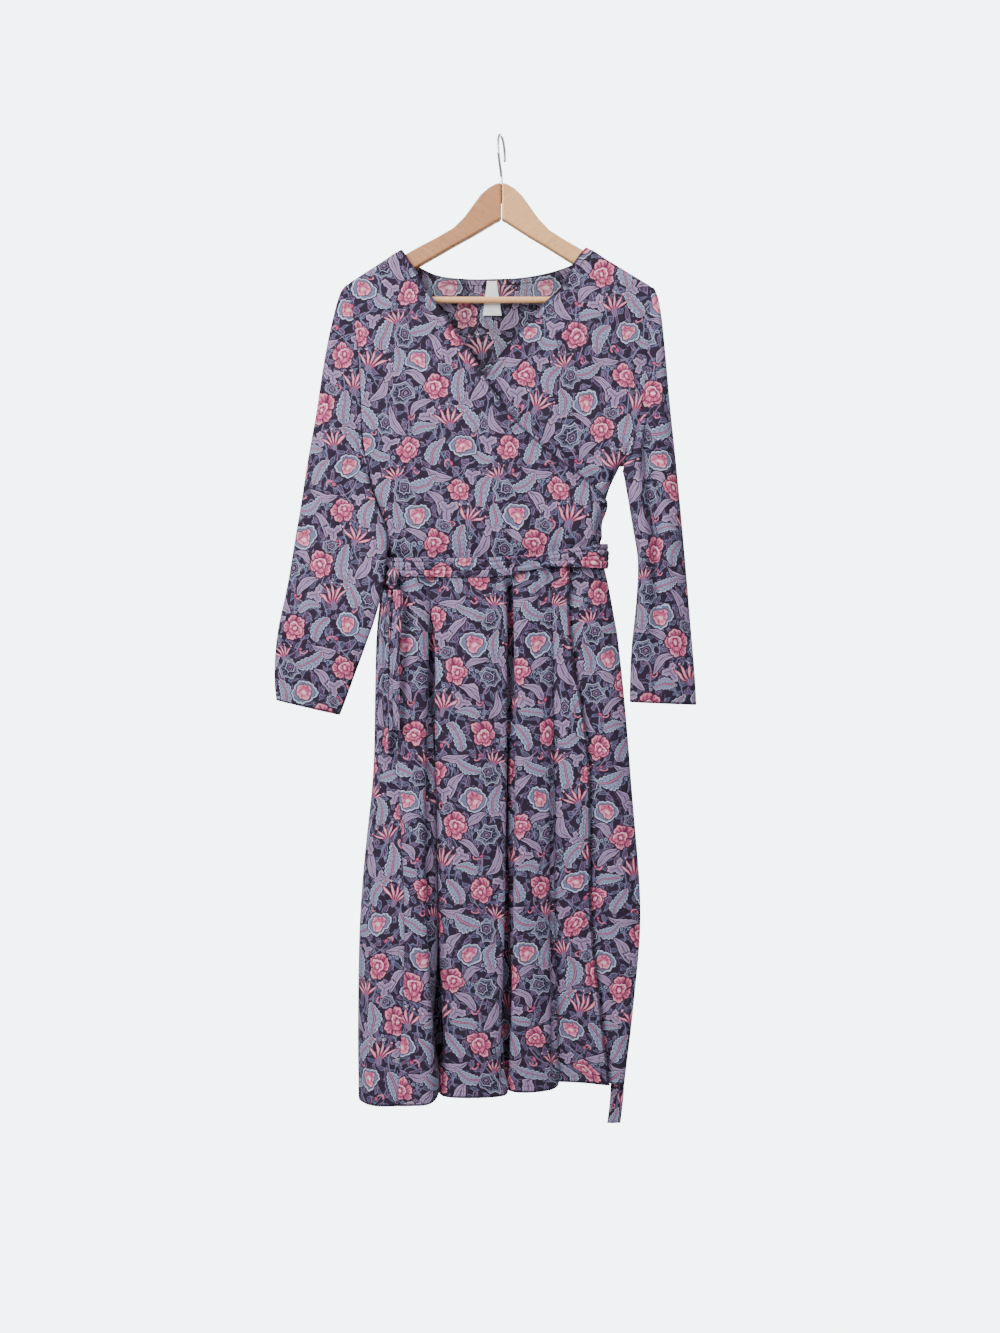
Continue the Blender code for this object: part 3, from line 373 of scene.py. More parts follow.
def normals(grid, wrap=False):
    if wrap:                                  # first and last columns are one line
        padded = np.concatenate([grid[:, -2:-1], grid, grid[:, 1:2]], axis=1)
        du = padded[:, 2:] - padded[:, :-2]
    else:
        du = np.gradient(grid, axis=1)
    dv = np.gradient(grid, axis=0)
    n = np.cross(du, dv)
    length = np.linalg.norm(n, axis=-1, keepdims=True)
    return n / np.maximum(length, 1e-9)


def outward(grid, inside, wrap=False):
    """Normals that point away from the inside of the garment."""
    n = normals(grid, wrap)
    if isinstance(inside, str):
        origin = grid.mean(axis=1, keepdims=True)
    else:
        origin = np.stack([np.full(grid.shape[:2], inside[0]), np.full(grid.shape[:2], inside[1]), grid[..., 2]], -1)
    if ((grid - origin) * n).sum() < 0:
        n = -n
    return n


def cloth_size(grid):
    """Flat-cloth coordinates: u along each row from a middle column, v down."""
    step = np.linalg.norm(np.diff(grid, axis=1), axis=-1)
    u = np.concatenate([np.zeros((len(grid), 1)), np.cumsum(step, axis=1)], axis=1)
    down = np.linalg.norm(np.diff(grid, axis=0), axis=-1)
    v = np.concatenate([np.zeros((1, grid.shape[1])), np.cumsum(down, axis=0)], axis=0)
    return u, v


# ------------------------------------------------------------------ bodice form
DEPTH_LINE = dense(DEPTHS, 24)[::-1]
SIDE_LINES = {"left": dense(named(SIDE_LEFT), 24), "right": dense(named(SIDE_RIGHT), 24)}
ARMPIT = 0.63          # share of a panel's rows that runs down the armhole


def shoulder_line(x):
    out = []
    for (nx, nz), (sx, sz) in ((NECK_LEFT, SHOULDER_LEFT), (NECK_RIGHT, SHOULDER_RIGHT)):
        out.append(nz + (sz - nz) * (x - nx) / (sx - nx))
    return np.where(x < 0, out[0], out[1])


def waist_z(x):
    return lerp(WAIST_LEFT_Z, WAIST_RIGHT_Z, np.clip((x - WAIST_LEFT_X) / (WAIST_RIGHT_X - WAIST_LEFT_X), 0, 1))


def side_x(side, z):
    line = SIDE_LINES[side][::-1]
    return np.interp(z, line[:, 1], line[:, 0])


def bodice_depth(x, z, layer, radius=13.0):
    depth = np.interp(z, DEPTH_LINE[:, 0], DEPTH_LINE[:, {"over": 1, "under": 2, "back": 3}[layer]])
    over_arm = round_over(shoulder_line(x) - z, 10.0)
    left, right = side_x("left", z), side_x("right", z)
    lift_left = np.maximum(0.0, z - SIDE_LEFT[5][2]) * 0.5
    lift_right = np.maximum(0.0, z - SIDE_RIGHT[5][2]) * 0.5
    if layer == "over":
        right = right + 2.5 + 4.5 * np.clip((z + 565.0) / 45.0, 0, 1)
    side = round_over(x - left + lift_left, radius) * round_over(right - x + lift_right, radius)
    if layer != "back":
        low, high, held = BLOUSE
        depth = np.minimum(depth, lerp(held, 60.0, smooth((z - waist_z(x) - low) / (high - low))))
    gap = 0.12
    return gap + (depth - gap) * over_arm * side


def side_edge(side, vs):
    """Armhole then side seam; the armpit is at row fraction ARMPIT."""
    line = SIDE_LINES[side]
    cut = 5 * 24
    hole, low = line[:cut + 1], line[cut:]
    vs = np.asarray(vs)
    up = at_fraction(hole, np.clip(vs / ARMPIT, 0, 1))
    down = at_fraction(low, np.clip((vs - ARMPIT) / (1 - ARMPIT), 0, 1))
    return np.where((vs <= ARMPIT)[:, None], up, down)


def coons(top, bottom, left, right, us, vs):
    u, v = us[None, :, None], vs[:, None, None]
    return (top[None] * (1 - v) + bottom[None] * v + left[:, None] * (1 - u) + right[:, None] * u
            - top[0] * (1 - u) * (1 - v) - top[-1] * u * (1 - v) - bottom[0] * (1 - u) * v - bottom[-1] * u * v)


def waist_edge(x0, x1, us):
    x = lerp(x0, x1, us)
    return np.stack([x, waist_z(x)], -1)


def bodice_rows():
    vs = spread(126, 1.35)
    vs[np.argmin(np.abs(vs - ARMPIT))] = ARMPIT
    return vs


def bodice_grid(layer):
    vs = bodice_rows()
    left, right = side_edge("left", vs), side_edge("right", vs)
    if layer == "over":
        us = spread(104, 1.45)
        top = np.stack([lerp(SHOULDER_LEFT[i], NECK_LEFT[i], us) for i in (0, 1)], -1)
        edge = at_fraction(dense(named(OVER_EDGE)), vs)
        flat = coons(top, waist_edge(left[-1, 0], edge[-1, 0], us), left, edge, us, vs)
        sign = -1.0
    elif layer == "under":
        us = 1.0 - spread(92, 1.45)[::-1]
        top = np.stack([lerp(NECK_RIGHT[i], SHOULDER_RIGHT[i], us) for i in (0, 1)], -1)
        edge = at_fraction(dense(named(UNDER_EDGE)), vs)
        flat = coons(top, waist_edge(edge[-1, 0], right[-1, 0], us), edge, right, us, vs)
        sign = -1.0
    else:
        top = dense(named(BACK_TOP), 14)
        us = (top[:, 0] - top[0, 0]) / (top[-1, 0] - top[0, 0])
        close = spread(9, 2.0)[1:-1] * us[1]
        us = np.concatenate([us[:1], close, us[1:-1], 1.0 - close[::-1], us[-1:]])
        top = np.stack([np.interp(us, (top[:, 0] - top[0, 0]) / (top[-1, 0] - top[0, 0]), top[:, c]) for c in (0, 1)], -1)
        flat = coons(top, waist_edge(left[-1, 0], right[-1, 0], us), left, right, us, vs)
        sign = 1.0
    x, z = flat[..., 0], flat[..., 1]
    y = sign * bodice_depth(x, z, layer)
    return np.stack([x, y, z], -1)


# ------------------------------------------------------------------ sleeve form
SLEEVE_SPREAD = [0.0, 0.09, 0.2, 0.31, 0.42, 0.53, 0.64, 0.76, 0.88, 1.0]
HOLE_SPREAD = [v / ARMPIT for v in (0.0, 0.0008, 0.010, 0.035, 0.12, 0.24, 0.37, 0.50, 0.585, 0.63)]


def sleeve_grid(rows, side, layer, out, around=48, length=118):
    f = np.linspace(0.0, 1.0, around + 1)
    hole = np.interp(f, SLEEVE_SPREAD, HOLE_SPREAD)
    edge = side_edge(side, hole * ARMPIT)
    front = np.stack([edge[:, 0], -bodice_depth(edge[:, 0], edge[:, 1], layer), edge[:, 1]], -1)
    back = np.stack([edge[:, 0], bodice_depth(edge[:, 0], edge[:, 1], "back"), edge[:, 1]], -1)
    ring = np.concatenate([front, back[-2::-1]])          # closes on its first point
    fall = (ring[0, 2] - ring[:, 2]) / (ring[0, 2] - ring[around, 2])
    ring0 = ring + np.stack([out * (0.4 + 2.0 * fall ** 4), 0 * fall, -2.0 * fall ** 4], -1)
    first = np.stack([ring0[:, 0] + out * lerp(3.0, 2.5, fall), ring0[:, 1] * 1.03, ring0[:, 2] - lerp(2.0, 4.0, fall)], -1)
    f_all = np.concatenate([f, f[-2::-1]])
    signs = np.concatenate([-np.ones(around + 1), np.ones(around)])
    rings = [ring0, first]
    for row in rows:
        outer, inner = np.array([row[1], row[3], row[2]], float), np.array([row[4], row[6], row[5]], float)
        half, fold = row[7], row[8]
        swell = np.sin(math.pi * f_all) ** 0.5
        across = 0.5 - 0.5 * np.cos(math.pi * f_all)
        p = outer + (inner - outer) * across[:, None]
        p[:, 0] += math.copysign(1.0, outer[0]) * row[9] * np.sin(math.pi * across)
        depth = half * swell
        depth = depth - np.where(signs < 0, fold * np.exp(-((across - CREASE_PLACE) / CREASE_WIDTH) ** 2), 0.0)
        p[:, 1] += signs * depth
        rings.append(p)
    rings = np.array(rings)
    fine = spline(rings, np.linspace(0, len(rings) - 1, (len(rings) - 1) * 30 + 1))
    run = measured(fine)
    goal = spread(length, 1.12) * run[-1]
    place = np.interp(goal, run, np.arange(len(fine)))
    k = np.clip(place.astype(int), 0, len(fine) - 2)
    t = (place - k)[:, None, None]
    return fine[k] * (1 - t) + fine[k + 1] * t


# ------------------------------------------------------------------ skirt form
def skirt_grid(first, last, per_span=10, rows=150):
    names = [row[0] for row in SKIRT]
    a, b = names.index(first), names.index(last)
    ts = spread(rows, 1.1)
    levels = np.array(SKIRT_LEVELS)
    k = np.clip(np.searchsorted(levels, ts, side="right") - 1, 0, len(levels) - 2)
    place = k + (ts - levels[k]) / (levels[k + 1] - levels[k])
    tracks = []
    for row in SKIRT:
        track = np.array([(levels[i] * 300.0, row[1 + i][0], row[1 + i][1]) for i in range(5)])
        p = spline(track, place)
        tracks.append(np.stack([p[:, 1], p[:, 2], row[6] * ts * ts], -1))
    tracks = np.array(tracks)                              # fold, row, (x, y, drop)
    where = np.linspace(a, b, (b - a) * per_span + 1)
    grid = np.zeros((rows, len(where), 3))
    for j, t in enumerate(ts):
        curve = spline(tracks[:, j], where)
        z = lerp(waist_z(curve[:, 0]), HEM_Z, t) + curve[:, 2]
        grid[j] = np.stack([curve[:, 0], curve[:, 1], z], -1)
    return grid, where, ts


# ------------------------------------------------------------------ light and wear
WOBBLE = 2.6           # how far the drawing strays from ruled lines, mm
DRIFT = 17.0           # and how far the rows stray, mm
LIGHT_WINDOW, LIGHT_FILL, LIGHT_TOP, LIGHT_ROOM = 132.0, 16.0, 28.0, 0.42
LIGHT_WALL, LIGHT_REAR = 6.5, 80.0


# ------------------------------------------------------------------ the print
# The all-over print is drawn as formulas on the flat cloth, in millimetres,
# with a repeat of REPEAT_X by REPEAT_Y.  K supplies the arithmetic.  Every
# motif is drawn once, about the nearest of its places in the repeat.
REPEAT_X, REPEAT_Y = 139.0, 217.0

INK = dict(ground=(0.0180, 0.0095, 0.0230), line=(0.0100, 0.0055, 0.0135),
           rose=(0.400, 0.062, 0.145), coral=(0.560, 0.140, 0.230), blush=(0.740, 0.340, 0.430),
           cream=(0.860, 0.560, 0.600), plum=(0.105, 0.014, 0.045),
           slate=(0.128, 0.142, 0.242), mist=(0.245, 0.262, 0.385), steel=(0.055, 0.060, 0.112),
           frost=(0.400, 0.420, 0.560), mauve=(0.205, 0.132, 0.240), lilac=(0.360, 0.262, 0.410),
           dusk=(0.060, 0.034, 0.080), wear=(0.120, 0.105, 0.150))

# Places of each motif in the repeat.
#            x      y    turn   scale mirror
PEONIES = [(29.0, 26.0, 12.0, 0.98, 1), (68.0, 112.0, 130.0, 1.06, -1),
           (99.0, 186.0, 75.0, 0.94, 1)]
BLOSSOMS = [(103.0, 34.0, 118.0, 1.00, 1), (44.0, 154.0, 62.0, 1.05, -1)]
SPRAYS = [(86.0, 66.0, 96.0, 1.00, 1), (116.0, 148.0, 70.0, 0.95, -1), (12.0, 206.0, 110.0, 0.70, 1)]
ROSETTES = [(23.0, 104.0, 0.0, 1.00, 1), (24.0, 186.0, 50.0, 0.90, 1), (134.0, 62.0, 20.0, 0.85, 1),
            (82.0, 138.0, 10.0, 0.62, 1)]
TOOTHED = [(66.0, 24.0, 64.0, 0.92, 1), (112.0, 72.0, 122.0, 0.95, -1), (100.0, 116.0, 84.0, 1.02, 1),
           (14.0, 152.0, 96.0, 0.88, -1), (134.0, 186.0, 70.0, 0.96, 1), (52.0, 196.0, 28.0, 0.90, -1),
           (50.0, 56.0, 12.0, 0.72, 1), (128.0, 18.0, 152.0, 0.80, 1)]
BLADES = [(12.0, 66.0, 112.0, 1.00, 1), (131.0, 112.0, 64.0, 1.05, -1), (48.0, 86.0, 38.0, 0.86, 1),
          (68.0, 172.0, 124.0, 0.95, -1), (70.0, 210.0, 165.0, 0.92, 1), (40.0, 126.0, 150.0, 0.80, -1)]
LOBED = [(60.0, 72.0, 70.0, 0.95, 1), (6.0, 134.0, 110.0, 1.00, 1), (86.0, 160.0, 150.0, 1.00, 1), (120.0, 206.0, 30.0, 0.80, 1),
         (2.0, 36.0, 260.0, 0.95, 1), (110.0, 94.0, 200.0, 0.80, 1)]
SPRIGS = [(44.0, 104.0, 80.0, 1.00, 1), (64.0, 48.0, 110.0, 0.95, 1), (110.0, 128.0, 250.0, 0.90, 1),
          (18.0, 128.0, 60.0, 0.90, 1), (76.0, 190.0, 85.0, 0.95, 1), (90.0, 88.0, 170.0, 0.80, 1),
          (6.0, 8.0, 100.0, 0.90, 1), (128.0, 166.0, 20.0, 0.85, 1), (28.0, 56.0, 330.0, 0.85, 1)]
CURLS = [(84.0, 8.0, 20.0, 1.00, 1), (36.0, 72.0, 200.0, 0.90, 1), (92.0, 142.0, 100.0, 0.85, -1),
         (118.0, 50.0, 40.0, 0.80, -1), (40.0, 212.0, 160.0, 0.90, 1)]


def paint_blade(K, col, x, y):
    """Long mauve leaf, hatched along its length, on a thin curved stalk."""
    t = x * (1.0 / 46.0) + 0.5
    arch = K.max(t * (1.0 - t), -0.9)
    mid = K.abs(y - 30.0 * arch + 4.0)
    half = 26.0 * K.max(arch, -0.02) * (1.30 - 0.62 * t)
    stalk = K.soft(0.75 - mid, 0.4) * K.soft(0.58 - K.abs(t - 0.03), 0.02)
    col = K.mix(col, INK["mauve"], stalk)
    leaf = K.soft(half - mid, 0.4)
    col = K.mix(col, INK["line"], K.soft(half + 1.4 - mid, 0.4) * K.soft(0.54 - K.abs(t - 0.5), 0.01))
    col = K.mix(col, INK["lilac"], leaf)
    hatch = K.soft(K.abs(K.wrap(mid * 1.0 + 0.16 * x, 0.0, 2.3)) - 0.50, 0.35)
    col = K.mix(col, INK["mauve"], leaf * hatch * K.soft(half - mid - 0.9, 0.4))
    col = K.mix(col, INK["dusk"], leaf * K.soft(0.30 - K.abs(half - mid - 2.6), 0.25) * 0.8)
    return K.mix(col, INK["dusk"], leaf * K.soft(0.55 - mid, 0.3))


def paint_toothed(K, col, x, y):
    """Blue-grey leaf with a lobed edge, dark veins and a pink midrib."""
    t = x * (1.0 / 43.0) + 0.5
    arch = K.max(t * (1.0 - t), -0.05)
    off = K.abs(y - 18.0 * arch + 2.6)
    slant = x - off * 0.55
    half = 17.0 * K.sqrt(K.max(arch, 0.0)) * (1.14 - 0.44 * t) + 2.0 * K.abs(K.sin(slant * 0.52)) - 60.0 * K.max(-arch, 0.0)
    leaf = K.soft(half - off, 0.4)
    col = K.mix(col, INK["line"], K.soft(half + 1.7 - off, 0.4) * K.soft(0.54 - K.abs(t - 0.5), 0.01))
    col = K.mix(col, INK["mist"], leaf)
    col = K.mix(col, INK["frost"], leaf * K.soft(1.4 - (half - off), 0.4) * 0.9)
    heart = K.soft(half - off - 1.9, 0.4)
    col = K.mix(col, INK["slate"], heart * 0.75)
    col = K.mix(col, INK["steel"], K.soft(0.50 - K.abs(half - off - 2.1), 0.3) * leaf * 0.9)
    col = K.mix(col, INK["mist"], K.soft(K.abs(K.sin(slant * 0.52)) - 0.62, 0.14) * K.soft(half - off - 2.8, 0.5) * 0.75)
    col = K.mix(col, INK["dusk"], K.soft(1.5 - off, 0.35) * K.soft(half - off - 1.2, 0.4))
    return K.mix(col, INK["coral"], K.soft(0.62 - off, 0.30) * leaf * 0.85)


def paint_lobed(K, col, x, y):
    """Mauve leaf of three round-toothed lobes, like an oak's."""
    r, a = K.length(x, y), K.atan2(y, x)
    lobes = K.abs(K.cos(a * 1.5))
    edge = 13.5 * (0.36 + 0.70 * lobes * lobes) + 0.9 * K.sin(a * 15.0)
    col = K.mix(col, INK["line"], K.soft(edge + 1.6 - r, 0.4))
    leaf = K.soft(edge - r, 0.4)
    col = K.mix(col, INK["lilac"], leaf)
    col = K.mix(col, INK["mauve"], K.soft(edge - r - 1.9, 0.6) * 0.75)
    return K.mix(col, INK["dusk"], K.soft(0.7 - K.abs(K.sin(a * 1.5)) * r, 0.35) * leaf * K.soft(11.0 - r, 0.6))


def paint_rosette(K, col, x, y):
    """Open flower in blue-grey line work."""
    r, a = K.length(x, y), K.atan2(y, x)
    ruffle = r / (1.0 - 0.20 * K.abs(K.cos(a * 3.5)) - 0.10 * K.cos(a + 0.8))
    shift = K.length(x - 2.5, y - 1.5) / (1.0 - 0.22 * K.abs(K.sin(a * 2.5 + 0.4)))
    col = K.mix(col, INK["ground"], K.soft(17.5 - ruffle, 0.4) * 0.9)
    col = K.mix(col, INK["frost"], K.soft(0.70 - K.abs(ruffle - 16.6), 0.35) * 0.85)
    col = K.mix(col, INK["mist"], K.soft(0.60 - K.abs(ruffle - 14.0), 0.35) * 0.85)
    col = K.mix(col, INK["frost"], K.soft(0.60 - K.abs(shift - 9.2), 0.35) * 0.8)
    rays = K.soft(0.45 - K.abs(K.wrap(a, 0.0, 0.4488)) * r, 0.3) * K.soft(2.0 - K.abs(r - 10.4), 0.6)
    col = K.mix(col, INK["slate"], rays)
    col = K.mix(col, INK["mauve"], K.soft(0.55 - K.abs(shift - 5.2), 0.35))
    return K.mix(col, INK["mauve"], K.soft(2.2 - shift, 0.5))


def paint_spray(K, col, x, y):
    """Fan of narrow coral petals with pale dots beyond their tips."""
    r, a = K.length(x + 9.0, y), K.atan2(y, x + 9.0)
    side = K.abs(K.wrap(a, 0.0, 0.40)) * r
    fan = K.soft(1.0 - K.abs(a), 0.02)
    t = r * (1.0 / 29.0)
    half = 9.6 * (t - 0.10) * (0.98 - t) * (0.5 + 0.8 * t)
    col = K.mix(col, INK["line"], K.soft(half + 0.9 - side, 0.4) * fan * K.soft(0.49 - K.abs(t - 0.54), 0.02))
    petal = K.soft(half - side, 0.4) * fan
    col = K.mix(col, INK["coral"], petal)
    col = K.mix(col, INK["rose"], petal * K.soft(0.42 - t, 0.10))
    col = K.mix(col, INK["blush"], petal * K.soft(half - side - 0.9, 0.3))
    col = K.mix(col, INK["blush"], K.soft(1.25 - K.length(r - 30.8, side), 0.35) * fan)
    cup = K.soft(5.6 - K.length(x + 8.0, y * 1.25), 0.4)
    col = K.mix(col, INK["mauve"], cup)
    return K.mix(col, INK["dusk"], K.soft(K.abs(K.wrap(y, 0.0, 2.4)) - 0.8, 0.3) * cup)


def paint_blossom(K, col, x, y):
    """Pink cup of uneven petals inside a thin scalloped blue-grey frill."""
    r, a = K.length(x, y), K.atan2(y, x)
    frill = 14.2 + 1.8 * K.abs(K.cos(a * 2.5)) + 1.3 * K.abs(K.sin(a * 6.5)) - 2.8 * K.cos(a) + 1.1 * K.sin(a * 2.0)
    inside = frill - r
    col = K.mix(col, INK["line"], K.soft(inside + 1.6, 0.4))
    col = K.mix(col, INK["slate"], K.soft(inside, 0.4))
    col = K.mix(col, INK["frost"], K.soft(0.95 - K.abs(inside - 1.0), 0.3))
    col = K.mix(col, INK["steel"], K.soft(0.45 - K.abs(inside - 2.6), 0.3))
    cup = K.length(x + 1.5, y) * (1.0 + 0.10 * K.cos(a)) + 1.2 * K.abs(K.sin(a * 4.0 + 0.3))
    size = 11.0 + 1.3 * K.sin(a * 3.0 + 0.8)
    col = K.mix(col, INK["line"], K.soft(size + 0.9 - cup, 0.35))
    pink = K.soft(size - cup, 0.4)
    col = K.mix(col, INK["coral"], pink)
    col = K.mix(col, INK["rose"], pink * K.soft(x + 1.0, 3.0) * 0.8)
    col = K.mix(col, INK["blush"], K.soft(0.8 - K.abs(size - cup - 1.3), 0.4) * pink * K.soft(1.0 - K.cos(a + 0.6), 0.5) * 0.8)
    fold = K.soft(0.42 - K.abs(K.wrap(a + 0.04 * r, 0.2, 1.0472)) * r * 0.5, 0.3) * K.soft(r - 3.0, 0.8) * pink
    col = K.mix(col, INK["plum"], fold * 0.75)
    return K.mix(col, INK["cream"], K.soft(2.3 - K.length(x + 3.4, y * 0.6 - 0.6), 0.8) * 0.7)


def paint_peony(K, col, x, y):
    """Full pink flower: loose outer petals and a tighter cup set to one side."""
    r, a = K.length(x, y), K.atan2(y, x)
    lobes = K.abs(K.sin(a * 2.5 + 0.5))
    edge = 13.2 + 3.2 * lobes + 1.3 * K.abs(K.sin(a * 8.0 + 1.0)) + 1.7 * K.cos(a - 0.6) + 1.2 * K.sin(a * 2.0)
    inside = edge - r
    col = K.mix(col, INK["line"], K.soft(inside + 1.6, 0.4))
    whole = K.soft(inside, 0.4)
    col = K.mix(col, INK["rose"], whole)
    col = K.mix(col, INK["coral"], whole * K.soft(5.0 - inside, 1.4) * 0.9)
    col = K.mix(col, INK["blush"], K.soft(0.7 - K.abs(inside - 1.5), 0.4) * whole * K.soft(K.sin(a * 3.0 + 1.0) + 0.3, 0.5) * 0.8)
    col = K.mix(col, INK["plum"], K.soft(0.95 - lobes * r * 0.30, 0.4) * whole * K.soft(r - 6.0, 0.8))
    streak = K.soft(K.sin(a * 19.0 + 0.3 * r) - 0.40, 0.3) * K.soft(r - 9.0, 0.8) * K.soft(inside - 2.2, 0.8)
    col = K.mix(col, INK["plum"], streak * 0.8)
    p, q = x - 2.4, y + 1.4
    s, b = K.length(p, q), K.atan2(q, p)
    lip = 7.4 + 2.3 * K.abs(K.cos(b * 1.5 + 0.7)) + 0.9 * K.abs(K.sin(b * 5.0))
    col = K.mix(col, INK["plum"], K.soft(lip + 1.3 - s, 0.35))
    bowl = K.soft(lip - s, 0.35)
    col = K.mix(col, INK["coral"], bowl)
    col = K.mix(col, INK["rose"], bowl * K.soft(K.sin(b * 6.0 + 1.0), 0.4) * K.soft(s - 2.2, 0.8))
    col = K.mix(col, INK["cream"], K.soft(0.8 - K.abs(lip - s - 1.3), 0.4) * bowl * K.soft(K.cos(b - 1.0) + 0.1, 0.4) * 0.8)
    col = K.mix(col, INK["plum"], K.soft(0.75 - K.abs(s - 4.2 - 0.9 * K.sin(b * 2.0)), 0.3))
    return K.mix(col, INK["cream"], K.soft(1.5 - K.length(p * 0.6, q), 0.5) * 0.8)


def paint_sprig(K, col, x, y):
    """Three pale berries on a forked stalk."""
    side = K.abs(y)
    stem = K.min(K.max(side, K.abs(x - 1.0) - 9.0), K.abs(side - 0.55 * (x + 1.0)) + 4.0 * K.max(K.abs(x - 3.0) - 4.5, 0.0))
    col = K.mix(col, INK["slate"], K.soft(0.65 - stem, 0.35))
    ball = K.min(K.length(x - 10.5, y), K.length(x - 7.2, side - 5.6))
    col = K.mix(col, INK["line"], K.soft(3.4 - ball, 0.4))
    col = K.mix(col, INK["mist"], K.soft(2.5 - ball, 0.4))
    return K.mix(col, INK["steel"], K.soft(1.4 - ball, 0.4))


def paint_curl(K, col, x, y):
    """Small coral curl with a bud at its end."""
    r = K.length(x, y)
    arc = K.abs(r - 4.6) + 3.0 * K.max(-0.4 - y * 0.4, 0.0)
    col = K.mix(col, INK["coral"], K.soft(0.95 - arc, 0.35))
    bud = K.length(x - 4.8, y * 0.8 + 1.4)
    col = K.mix(col, INK["line"], K.soft(3.1 - bud, 0.4))
    return K.mix(col, INK["rose"], K.soft(2.2 - bud, 0.4))


def cloth_print(K, u, v):
    """Colour of the print at u, v millimetres on the flat cloth."""
    col = K.colour(INK["ground"])
    # small leaves in outline, scattered over the ground
    for cell, turn, long, ink in ((16.9, 35.0, 5.6, "slate"), (21.3, 118.0, 6.6, "mauve")):
        a = math.radians(turn)
        x, y = u * math.cos(a) + v * math.sin(a), v * math.cos(a) - u * math.sin(a)
        x = x + 2.8 * K.sin(y * 0.31)
        p, q = K.wrap(x, 0.0, cell), K.wrap(y + 2.2 * K.sin(x * 0.27), 0.0, cell * 0.82)
        q = K.abs(q + p * p * 0.03)
        half = 0.52 * long - p * p * (0.52 / long)
        col = K.mix(col, INK["dusk"], K.soft(half - q, 0.3) * 0.6)
        col = K.mix(col, INK[ink], K.soft(0.50 - K.abs(half - q), 0.3) * K.soft(long + 0.4 - K.abs(p), 0.4) * 0.9)
        col = K.mix(col, INK[ink], K.soft(0.34 - q, 0.25) * K.soft(long + 2.0 - K.abs(p - 1.0), 0.4) * 0.8)
    # trailing stems
    for x0, sway, phase, ink in ((20.0, 17.0, 0.6, "mauve"), (88.0, 20.0, 2.9, "slate"),
                                 (56.0, 24.0, 4.4, "dusk"), (121.0, 14.0, 5.6, "slate")):
        k = 2.0 * math.pi / REPEAT_Y
        x = K.wrap(u - sway * K.sin(v * k + phase) - 6.0 * K.sin(v * (3.0 * k) + 1.1 * phase), x0, REPEAT_X)
        col = K.mix(col, INK[ink], K.soft(0.85 - K.abs(x), 0.35) * 0.9)
    for paint, places in ((paint_rosette, ROSETTES), (paint_curl, CURLS), (paint_sprig, SPRIGS),
                          (paint_blade, BLADES), (paint_lobed, LOBED), (paint_toothed, TOOTHED),
                          (paint_spray, SPRAYS), (paint_blossom, BLOSSOMS), (paint_peony, PEONIES)):
        p, q = K.nearest(places)
        col = paint(K, col, p, q)
    return col


# ------------------------------------------------------------------ shader arithmetic
class Flow:
    """A number that varies over the surface, as a node socket."""

    def __init__(self, k, socket):
        self.k, self.socket = k, socket

    def __add__(self, other):
        return self.k.math("ADD", self, other)

    def __radd__(self, other):
        return self.k.math("ADD", other, self)

    def __sub__(self, other):
        return self.k.math("SUBTRACT", self, other)

    def __rsub__(self, other):
        return self.k.math("SUBTRACT", other, self)

    def __mul__(self, other):
        return self.k.math("MULTIPLY", self, other)

    def __rmul__(self, other):
        return self.k.math("MULTIPLY", other, self)

    def __truediv__(self, other):
        return self.k.math("DIVIDE", self, other)

    def __neg__(self):
        return self.k.math("MULTIPLY", self, -1.0)


